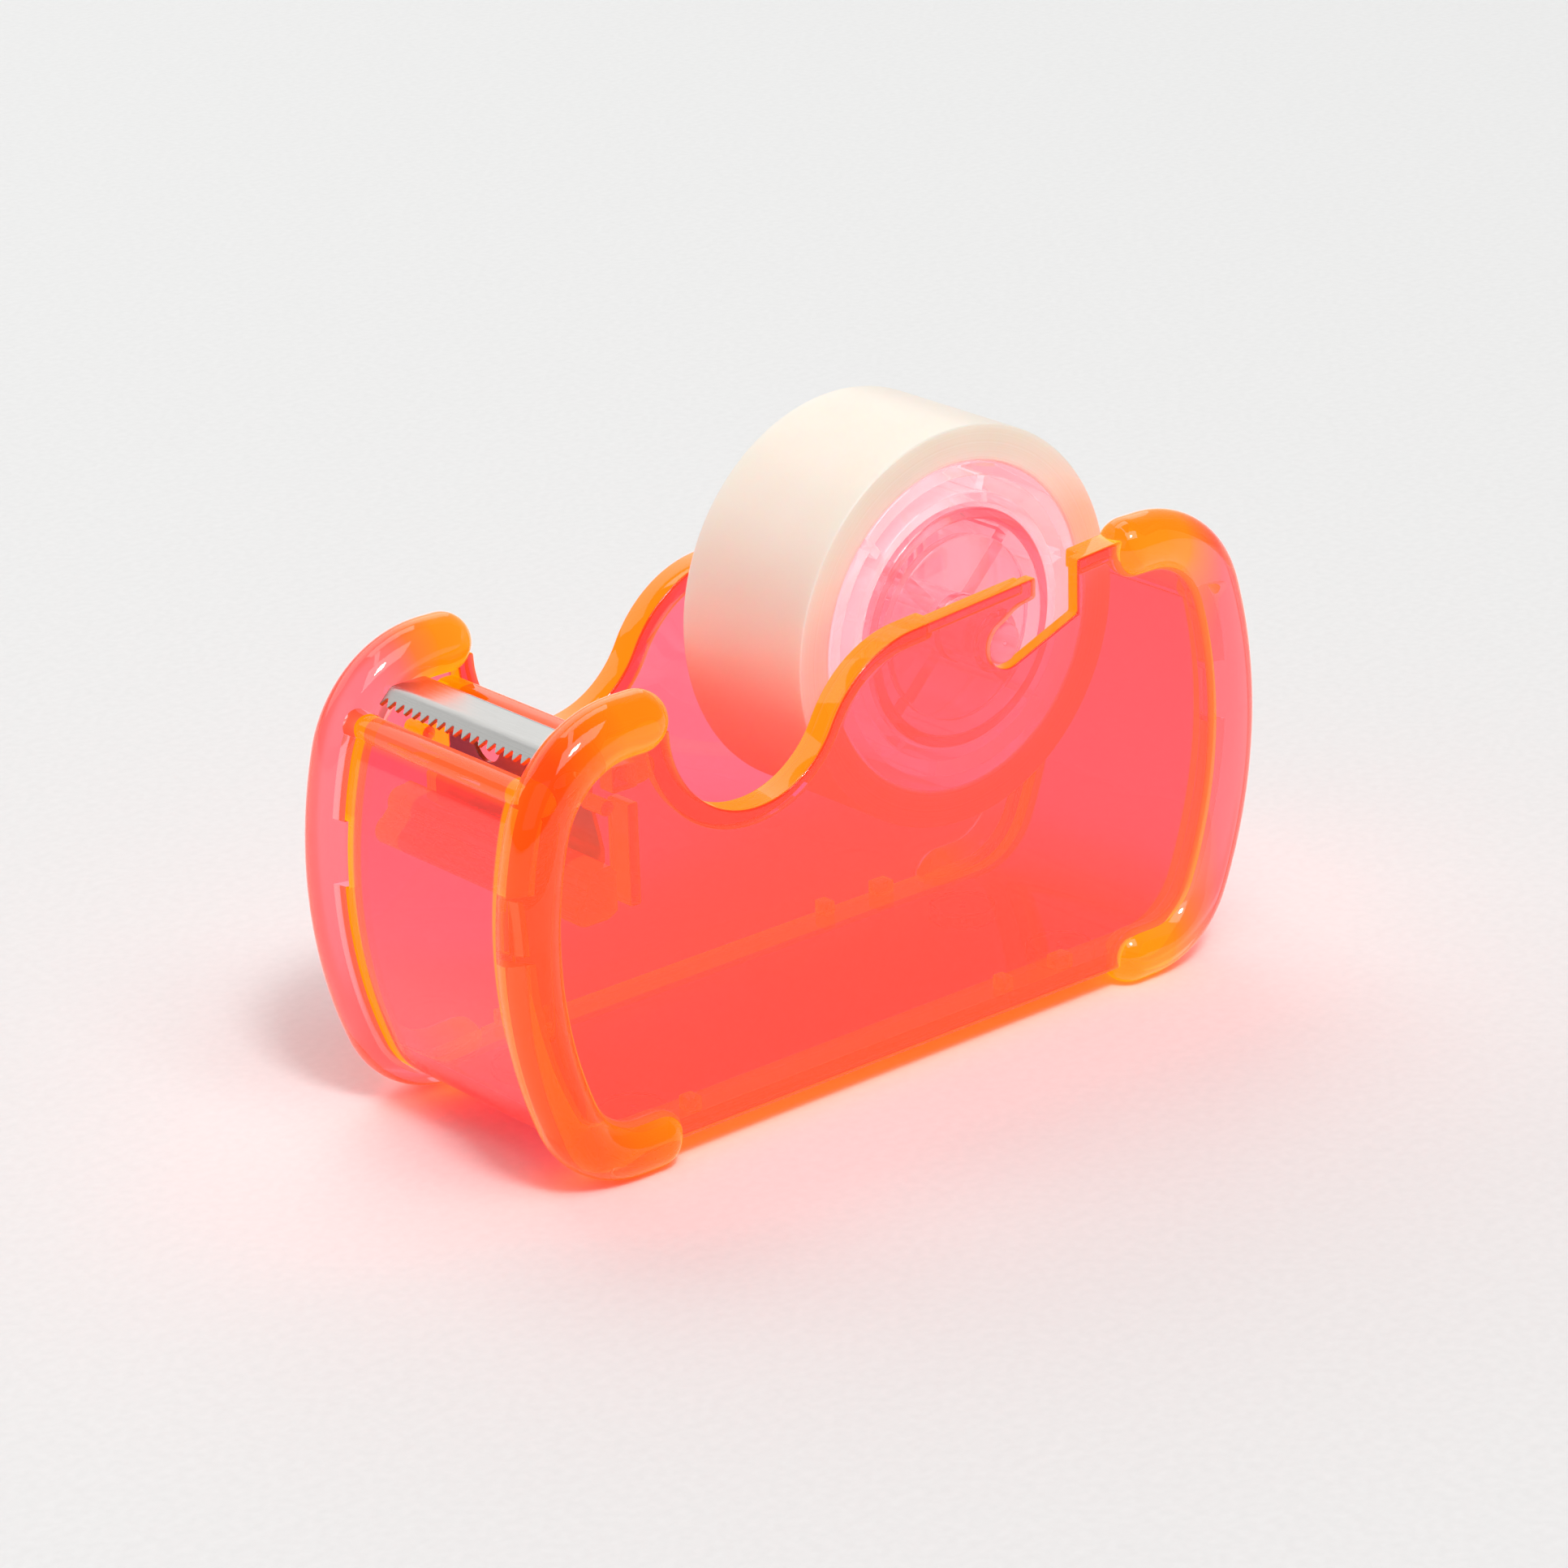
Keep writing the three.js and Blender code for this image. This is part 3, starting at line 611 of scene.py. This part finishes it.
# ---------- the axle, spool, core and tape ----------
AXLE_END = 16.1  # |y| of the axle's ends, and so on below
DRUM_R, DRUM_BORE, DRUM_END = 12.4, 11.1, 9.4
HUB_R, HUB_BORE, HUB_END = 3.3, 2.5, 14.4
DISC_R, DISC_IN = 9.6, 8.2
RING_BORE, RING_R, RING_WEB = 12.7, 13.9, 0.6  # the core's inner ring, and half its web
CORE_BORE, CORE_R, CORE_END = 15.5, 17, 9
TAPE_BORE, TAPE_R = 17.12, 20.85


def make_axle(name):
    line = [(0, -AXLE_END), (AXLE_R, -AXLE_END), (AXLE_R, AXLE_END), (0, AXLE_END)]
    return finish_mesh(lathe(name, fillet(line, 0.5, 6), 64))


def arms(name, count, first, r0, r1, width, half):
    """Flat radial webs about the axle, the first one at an angle."""
    parts = []
    for i in range(count):
        ob = box(name, r0, r1, -half, half, -width / 2, width / 2)
        turn = Matrix.Rotation(-first - i * 2 * math.pi / count, 4, "Y")
        ob.data.transform(Matrix.Translation((HUB_X * MM, 0, HUB_Z * MM)) @ turn)
        parts.append(ob)
    return parts


def make_drum(name):
    line = [(DRUM_BORE, -DRUM_END), (DRUM_R, -DRUM_END), (DRUM_R, DRUM_END), (DRUM_BORE, DRUM_END)]
    wall = lathe(name, fillet(line, 0.35, 4), 128)
    # the hub's tube, with a disc at each end of the drum
    line = [(HUB_BORE, -HUB_END), (HUB_R, -HUB_END), (HUB_R, -DRUM_END), (DISC_R, -DRUM_END),
            (DISC_R, -DISC_IN), (HUB_R, -DISC_IN), (HUB_R, DISC_IN), (DISC_R, DISC_IN),
            (DISC_R, DRUM_END), (HUB_R, DRUM_END), (HUB_R, HUB_END), (HUB_BORE, HUB_END)]
    hub = lathe("hub", fillet(line, 0.3, 3), 128)
    boolean(wall, hub, operation="UNION")
    for arm in arms("arm", 4, math.pi / 4, 2.9, 11.6, 1.6, 7.4):
        boolean(wall, arm, operation="UNION")
    return finish_mesh(wall, 30)


def make_core(name):
    # an outer and an inner ring, joined by a thin web in the middle plane
    line = [(CORE_BORE, -CORE_END), (CORE_R, -CORE_END), (CORE_R, CORE_END), (CORE_BORE, CORE_END),
            (CORE_BORE, RING_WEB), (RING_R, RING_WEB), (RING_R, CORE_END), (RING_BORE, CORE_END),
            (RING_BORE, -CORE_END), (RING_R, -CORE_END), (RING_R, -RING_WEB), (CORE_BORE, -RING_WEB)]
    ob = lathe(name, fillet(line, 0.3, 3), 144)
    for arm in arms("rib", 6, math.radians(15), 13.4, 16.2, 1.0, 8.5):
        boolean(ob, arm, operation="UNION")
    return finish_mesh(ob, 30)


def make_tape(name):
    line = [(TAPE_BORE, -CORE_END), (TAPE_R, -CORE_END), (TAPE_R, CORE_END), (TAPE_BORE, CORE_END)]
    return finish_mesh(lathe(name, fillet(line, 0.22, 4), 192))


# ---------- materials ----------
def nodes_of(name):
    mat = bpy.data.materials.new(name)
    mat.use_nodes = True
    tree = mat.node_tree
    return mat, tree, tree.nodes["Principled BSDF"], tree.nodes["Material Output"]


def ramp(tree, fac, stops):
    node = tree.nodes.new("ShaderNodeValToRGB")
    el = node.color_ramp.elements
    el[0].position, el[0].color = stops[0][0], (*stops[0][1], 1)
    el[1].position, el[1].color = stops[-1][0], (*stops[-1][1], 1)
    for pos, col in stops[1:-1]:
        el.new(pos).color = (*col, 1)
    tree.links.new(fac, node.inputs["Fac"])
    return node.outputs["Color"]


def math_node(tree, op, a, b=None, clamp=False):
    node = tree.nodes.new("ShaderNodeMath")
    node.operation, node.use_clamp = op, clamp
    for i, v in enumerate((a, b)):
        if v is None:
            continue
        if isinstance(v, (int, float)):
            node.inputs[i].default_value = v
        else:
            tree.links.new(v, node.inputs[i])
    return node.outputs[0]


def plus(tree, a, b, clamp=False):
    return math_node(tree, "ADD", a, b, clamp)


def minus(tree, a, b):
    return math_node(tree, "SUBTRACT", a, b)


def times(tree, a, b, clamp=False):
    return math_node(tree, "MULTIPLY", a, b, clamp)


def xyz(tree, vector):
    node = tree.nodes.new("ShaderNodeSeparateXYZ")
    tree.links.new(vector, node.inputs[0])
    return node.outputs


def vector_node(tree, op, vector, other=None):
    node = tree.nodes.new("ShaderNodeVectorMath")
    node.operation = op
    tree.links.new(vector, node.inputs[0])
    if other:
        node.inputs[1].default_value = other
    return node


def noise(tree, vector, scale, detail=3.0):
    node = tree.nodes.new("ShaderNodeTexNoise")
    node.inputs["Scale"].default_value = scale
    node.inputs["Detail"].default_value = detail
    tree.links.new(vector, node.inputs["Vector"])
    return node.outputs["Fac"]


def bump(tree, height, strength, distance):
    node = tree.nodes.new("ShaderNodeBump")
    node.inputs["Strength"].default_value = strength
    node.inputs["Distance"].default_value = distance
    tree.links.new(height, node.inputs["Height"])
    return node.outputs["Normal"]


def absorb_light(tree, out, density, colour):
    vol = tree.nodes.new("ShaderNodeVolumeAbsorption")
    vol.inputs["Density"].default_value = density
    vol.inputs["Color"].default_value = (*colour, 1)
    tree.links.new(vol.outputs[0], out.inputs["Volume"])


# where the painted glow of a piece changes, in metres from the middle or the floor, and how steeply
WALL_END_Y, WALL_END_RISE = 0.0106, 1600
WALL_TOP_Z, WALL_TOP_RISE, WALL_TOP_SHARE = 0.0375, 300, 0.5
BAR_END_X, BAR_END_RISE = 0.0465, 70
# how steeply the painted shade towards the floor lifts with height, on edges and on faces
LIFT_RISE, LIGHT_RISE = 20, 45
# the painted orange tint that the edges take, for the light trapped in them
EDGE_ORANGE = (1.0, 0.42, 0.03)


def glow_factor(tree, glow_by, coord):
    """0 on a piece's faces and about 1 at the edges, where the painted glow stands in for trapped light that
    comes out.
    """
    place = xyz(tree, coord.outputs["Object"])
    sideways = math_node(tree, "ABSOLUTE", xyz(tree, coord.outputs["Normal"])["Y"])
    if glow_by == "edge":
        return minus(tree, 1.0, sideways)
    if glow_by == "side_ends":
        # painted glow at the two ends of a wall that runs across, and at the bead along its top
        out = minus(tree, math_node(tree, "ABSOLUTE", place["Y"]), WALL_END_Y)
        end = times(tree, out, WALL_END_RISE, True)
        top = times(tree, minus(tree, place["Z"], WALL_TOP_Z), WALL_TOP_RISE, True)
        ends = math_node(tree, "MAXIMUM", sideways, end)
        return math_node(tree, "MAXIMUM", ends, times(tree, top, WALL_TOP_SHARE))
    if glow_by == "bar_ends":
        # painted glow along a bumper: most where it runs level at its two ends
        along = math_node(tree, "ABSOLUTE", place["X"])
        return times(tree, minus(tree, BAR_END_X, along), BAR_END_RISE)
    # otherwise a painted glow in spots
    return plus(tree, noise(tree, coord.outputs["Object"], 90, 1.0), 0.25)


def fluorescent(name, absorb, face_glow, edge_glow, glow_by="edge", low=0.35, high=0.75,
                gloss=0.5, dim=0.75, lift=0.72):
    """Clear plastic with a fluorescent dye: it absorbs green and blue by depth, and has a painted glow,
    strongest at its edges.
    """
    mat, tree, bsdf, out = nodes_of(name)
    link = tree.links.new
    coord = tree.nodes.new("ShaderNodeTexCoord")
    density = max(absorb)
    absorb_light(tree, out, density, [1 - a / density for a in absorb])
    # painted shade: lower down, the glow of the edges is dimmed
    height = xyz(tree, coord.outputs["Object"])["Z"]
    painted_edge_shade = plus(tree, times(tree, height, LIFT_RISE), lift, True)
    fac = times(tree, glow_factor(tree, glow_by, coord), painted_edge_shade)
    # painted shade: lower down, faces are dimmer too, and more so than edges
    light = plus(tree, times(tree, height, LIGHT_RISE), dim)
    light = plus(tree, light, times(tree, fac, 0.5), True)
    shade = vector_node(tree, "SCALE", ramp(tree, fac, [(low, face_glow), (high, edge_glow)]))
    link(light, shade.inputs["Scale"])
    # the painted glow, given as emission
    link(shade.outputs[0], bsdf.inputs["Emission Color"])
    bsdf.inputs["Emission Strength"].default_value = 1.0
    # the edges let only orange through, a painted tint for the light trapped in them; the faces have a faint
    # cloud
    cloud = times(tree, noise(tree, coord.outputs["Object"], 60, 2.0), 0.06)
    base = ramp(tree, plus(tree, fac, cloud), [(low, (1, 1, 1)), (high, EDGE_ORANGE)])
    link(base, bsdf.inputs["Base Color"])
    bsdf.inputs["Transmission Weight"].default_value = 1.0
    bsdf.inputs["IOR"].default_value = 1.49
    bsdf.inputs["Specular IOR Level"].default_value = gloss
    rough = times(tree, noise(tree, coord.outputs["Object"], 220, 2.0), 0.02)
    link(rough, bsdf.inputs["Roughness"])
    link(bump(tree, noise(tree, coord.outputs["Object"], 45, 1.0), 0.03, 0.0004), bsdf.inputs["Normal"])
    return mat


def clear_plastic(name, glow, transmission, ior, density):
    """The spool's and the core's plastic: clear with a faint haze, and a painted pink tint and glow for the
    light of the panels.
    """
    mat, tree, bsdf, out = nodes_of(name)
    link = tree.links.new
    coord = tree.nodes.new("ShaderNodeTexCoord")
    # painted light: the pink absorption, tint and glow stand in for the light of the panels
    absorb_light(tree, out, density, (0.95, 0.0, 0.2))
    haze = noise(tree, coord.outputs["Object"], 60, 2.0)
    glows = [(0.3, glow), (0.7, tuple(c * 0.9 for c in glow))]
    tints = [(0.3, (1.0, 0.90, 0.92)), (0.7, (1.0, 0.84, 0.88))]
    link(ramp(tree, haze, glows), bsdf.inputs["Emission Color"])
    bsdf.inputs["Emission Strength"].default_value = 1.0
    link(ramp(tree, haze, tints), bsdf.inputs["Base Color"])
    bsdf.inputs["Transmission Weight"].default_value = transmission
    bsdf.inputs["IOR"].default_value = ior
    bsdf.inputs["Coat Weight"].default_value = 0.8
    bsdf.inputs["Coat IOR"].default_value = 1.5
    bsdf.inputs["Coat Roughness"].default_value = 0.04
    link(plus(tree, times(tree, haze, 0.06), 0.05), bsdf.inputs["Roughness"])
    link(bump(tree, haze, 0.05, 0.0004), bsdf.inputs["Normal"])
    return mat


def blade_steel():
    """Ground steel with fine lines along the blade's length, and painted shade down its leg."""
    mat, tree, bsdf, _ = nodes_of("blade_steel")
    link = tree.links.new
    coord = tree.nodes.new("ShaderNodeTexCoord")
    stretch = tree.nodes.new("ShaderNodeMapping")
    stretch.inputs["Scale"].default_value = (6, 0.25, 6)
    link(coord.outputs["Object"], stretch.inputs["Vector"])
    lines = noise(tree, stretch.outputs["Vector"], 900, 4.0)
    # painted shade: bright on the flat top, and darker down the leg
    leg_top, rise = 0.0425, 900
    top = times(tree, minus(tree, xyz(tree, coord.outputs["Object"])["Z"], leg_top), rise, True)
    lines_and_painted_shade = plus(tree, times(tree, lines, 0.3), times(tree, top, 0.7))
    steels = [(0.05, (0.19, 0.15, 0.145)), (0.3, (0.26, 0.22, 0.215)),
              (0.75, (0.40, 0.395, 0.38)), (0.95, (0.50, 0.495, 0.48))]
    link(ramp(tree, lines_and_painted_shade, steels), bsdf.inputs["Base Color"])
    bsdf.inputs["Metallic"].default_value = 1.0
    link(plus(tree, times(tree, lines, 0.14), 0.16), bsdf.inputs["Roughness"])
    link(bump(tree, lines, 0.15, 0.00005), bsdf.inputs["Normal"])
    return mat


def tape_film():
    """Matt clear film in many turns: a fine ring pattern about the axle, and light that soaks in."""
    mat, tree, bsdf, _ = nodes_of("tape_film")
    link = tree.links.new
    coord = tree.nodes.new("ShaderNodeTexCoord")
    shift = vector_node(tree, "SUBTRACT", coord.outputs["Object"], (HUB_X * MM, 0, HUB_Z * MM))
    flat = vector_node(tree, "MULTIPLY", shift.outputs[0], (1, 0, 1))
    radius = vector_node(tree, "LENGTH", flat.outputs[0]).outputs["Value"]
    turns = tree.nodes.new("ShaderNodeTexNoise")
    turns.noise_dimensions = "1D"
    turns.inputs["Scale"].default_value = 5200
    turns.inputs["Detail"].default_value = 3
    link(radius, turns.inputs["W"])
    rings = turns.outputs["Fac"]
    cloud = noise(tree, coord.outputs["Object"], 70, 2.0)
    mixed = plus(tree, times(tree, rings, 0.55), times(tree, cloud, 0.45))
    creams = [(0.3, (0.86, 0.76, 0.63)), (0.5, (0.89, 0.81, 0.70)), (0.7, (0.91, 0.84, 0.75))]
    link(ramp(tree, mixed, creams), bsdf.inputs["Base Color"])
    link(plus(tree, times(tree, rings, 0.2), 0.3), bsdf.inputs["Roughness"])
    bsdf.inputs["Subsurface Weight"].default_value = 0.6
    bsdf.inputs["Subsurface Radius"].default_value = (1.0, 0.55, 0.4)
    bsdf.inputs["Subsurface Scale"].default_value = 0.004
    bsdf.inputs["Coat Weight"].default_value = 0.25
    bsdf.inputs["Coat Roughness"].default_value = 0.25
    link(bump(tree, rings, 0.2, 0.00006), bsdf.inputs["Normal"])
    return mat


# each plastic's absorption of red, green and blue per metre, then the painted glow of its faces and of its
# edges
panel_plastic = fluorescent(
    "panel_plastic", (12, 1080, 690), (0.20, 0.047, 0.010), (1.0, 0.27, 0.0), gloss=0.22)
channel_plastic = fluorescent(
    "channel_plastic", (12, 700, 430), (0.18, 0.045, 0.03), (0.95, 0.25, 0.0),
    glow_by="side_ends", gloss=0.35, dim=0.3)
# the near bumpers have copies of the bumpers' plastic with a more orange painted glow, a painted difference
# in light, as all four are the same plastic; the far ones keep bumper_plastic
near_front_plastic = fluorescent(
    "near_front_plastic", (8, 400, 500), (0.34, 0.058, 0.0), (0.9, 0.225, 0.0),
    glow_by="bar_ends", low=0.2, high=0.75, lift=0.42)
near_rear_plastic = fluorescent(
    "near_rear_plastic", (8, 300, 240), (0.22, 0.05, 0.02), (0.9, 0.24, 0.0),
    glow_by="bar_ends", low=0.25, high=0.6)
bumper_plastic = fluorescent(
    "bumper_plastic", (8, 290, 225), (0.22, 0.05, 0.02), (0.9, 0.21, 0.0),
    glow_by="bar_ends", low=0.5, high=0.85)
bar_plastic = fluorescent(
    "bar_plastic", (8, 620, 760), (0.20, 0.02, 0.0), (0.9, 0.2, 0.0), glow_by="side_ends")
spool_plastic = clear_plastic("spool_plastic", (0.10, 0.028, 0.032), 0.95, 1.3, 42)
core_plastic = clear_plastic("core_plastic", (0.22, 0.115, 0.12), 0.8, 1.2, 24)
foot_silicone = fluorescent(
    "foot_silicone", (4, 180, 140), (0.05, 0.01, 0.008), (0.1, 0.02, 0.01), glow_by="spots")
steel = blade_steel()
film = tape_film()


def show(ob, node, body, mat):
    """Gives a piece its material, and stands it for a CAD node on a body."""
    ob.data.materials.clear()
    ob.data.materials.append(mat)
    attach(ob, body)
    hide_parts(node)


near_panel = make_panel("visual_near_panel")
far_panel = mirrored(near_panel, "visual_far_panel")
show(near_panel, "near_side_panel", "body", panel_plastic)
show(far_panel, "far_side_panel", "body", panel_plastic)
# the near bumpers take the copies with the more orange painted glow
for end_name, side, near_plastic in (("front", -1, near_front_plastic), ("rear", 1, near_rear_plastic)):
    near = make_bumper(f"visual_near_{end_name}_bumper", side)
    far = mirrored(near, f"visual_far_{end_name}_bumper")
    show(near, f"near_{end_name}_bumper", "body", near_plastic)
    show(far, f"far_{end_name}_bumper", "body", bumper_plastic)
show(make_channel("visual_channel"), "channel", "body", channel_plastic)
show(make_blade("visual_blade"), "blade", "body", steel)
show(make_rest("visual_tape_rest"), "tape_rest", "body", bar_plastic)
show(make_support("visual_blade_support"), "blade_support", "body", bar_plastic)
for end_name, end in (("front", -1), ("rear", 1)):
    for side_name, s in (("near", -1), ("far", 1)):
        foot = make_foot(f"visual_foot_{end_name}_{side_name}", end * FOOT_X, s * FOOT_Y)
        show(foot, f"foot_{end_name}_{side_name}", "body", foot_silicone)
show(make_axle("visual_axle"), "axle", "axle", spool_plastic)
show(make_drum("visual_drum"), "spool_drum", "roll", spool_plastic)
show(make_core("visual_core"), "tape_core", "roll", core_plastic)
show(make_tape("visual_tape"), "tape_roll", "roll", film)

# ---------- floor, lights and camera ----------
scene = bpy.context.scene
scene.view_settings.view_transform = "Standard"
scene.view_settings.look = "None"
scene.cycles.max_bounces = 20
scene.cycles.transmission_bounces = 20
scene.cycles.glossy_bounces = 10
scene.cycles.diffuse_bounces = 5
scene.cycles.sample_clamp_indirect = 6.0
scene.cycles.blur_glossy = 0.3


def make_floor():
    """A pale sheet that lies flat and sweeps up far behind."""
    near, bend, half_width, wall = -4000.0, 1500.0, 6000.0, 6000.0
    rows = [(near, 0.0), (bend, 0.0)]
    for a in [k * math.pi / 24 for k in range(1, 13)]:
        rows.append((bend + bend * math.sin(a), bend - bend * math.cos(a)))
    rows += [(2 * bend, wall)]
    turn = math.radians(40.4)  # squares the sheet to the camera
    gap = 0.02  # below the feet
    verts, faces = [], []
    for d, z in rows:
        for w in (-half_width, half_width):
            x = d * math.sin(turn) + w * math.cos(turn)
            verts.append((x, d * math.cos(turn) - w * math.sin(turn), z - gap))
    for i in range(len(rows) - 1):
        faces.append([2 * i, 2 * i + 1, 2 * i + 3, 2 * i + 2])
    floor = mesh_object("floor", verts, faces)
    for p in floor.data.polygons:
        p.use_smooth = True
    mat, tree, bsdf, _ = nodes_of("paper")
    coord = tree.nodes.new("ShaderNodeTexCoord")
    grain = noise(tree, coord.outputs["Object"], 900, 3.0)
    whites = [(0.3, (0.80, 0.80, 0.795)), (0.7, (0.83, 0.83, 0.825))]
    tree.links.new(ramp(tree, grain, whites), bsdf.inputs["Base Color"])
    bsdf.inputs["Roughness"].default_value = 0.8
    bsdf.inputs["Specular IOR Level"].default_value = 0.1
    tree.links.new(bump(tree, grain, 0.1, 0.0001), bsdf.inputs["Normal"])
    floor.data.materials.append(mat)


make_floor()

world = bpy.data.worlds.new("studio")
scene.world = world
world.use_nodes = True
world.node_tree.nodes["Background"].inputs["Color"].default_value = (1.0, 1.0, 1.0, 1)
world.node_tree.nodes["Background"].inputs["Strength"].default_value = 0.18


LIGHTS_AIM = Vector((0, 0, 0.03))


def softbox(name, toward, distance, width, height, radiance):
    """A flat lamp of even brightness that faces the object from a direction."""
    light = bpy.data.lights.new(name, "AREA")
    light.shape, light.size, light.size_y = "RECTANGLE", width, height
    light.energy = radiance * math.pi * width * height
    ob = bpy.data.objects.new(name, light)
    scene.collection.objects.link(ob)
    d = Vector(toward).normalized()
    ob.location = LIGHTS_AIM + d * distance
    ob.rotation_mode = "QUATERNION"
    ob.rotation_quaternion = d.to_track_quat("Z", "Y")


softbox("key", (-0.14, -0.50, 0.85), 4.0, 2.88, 2.12, 3.1)
softbox("hot_spot", (-0.20, -0.535, 0.82), 3.8, 0.60, 0.60, 42)
softbox("strip", (-0.22, 0.06, 0.95), 1.9, 1.1, 0.16, 2.5)
softbox("over", (0.10, 0.48, 0.88), 2.0, 1.2, 0.7, 2.5)
softbox("back", (0.12, 0.85, 0.50), 1.9, 3.0, 1.1, 1.0)
softbox("fill", (-0.90, -0.25, 0.45), 2.2, 1.7, 1.3, 0.3)

AZ, EL, ROLL = math.radians(-40.41), math.radians(21.58), math.radians(-1.5)
CAMERA_AT = (-0.3225, -0.3772, 0.2230)
FOCAL, IMAGE = 6500, 1932  # focal length and width of the image, in the image's own steps
back = Vector((math.sin(AZ) * math.cos(EL), -math.cos(AZ) * math.cos(EL), math.sin(EL)))
right = Vector((math.cos(AZ), math.sin(AZ), 0))
up = back.cross(right)
cam_right = math.cos(ROLL) * right + math.sin(ROLL) * up
cam_up = -math.sin(ROLL) * right + math.cos(ROLL) * up
cam_data = bpy.data.cameras.new("camera")
cam_data.sensor_width = 36
cam_data.lens = FOCAL / IMAGE * cam_data.sensor_width
cam_data.clip_start, cam_data.clip_end = 0.01, 50
camera = bpy.data.objects.new("camera", cam_data)
scene.collection.objects.link(camera)
turn = Matrix((cam_right, cam_up, back)).transposed().to_4x4()
camera.matrix_world = Matrix.Translation(CAMERA_AT) @ turn
scene.camera = camera
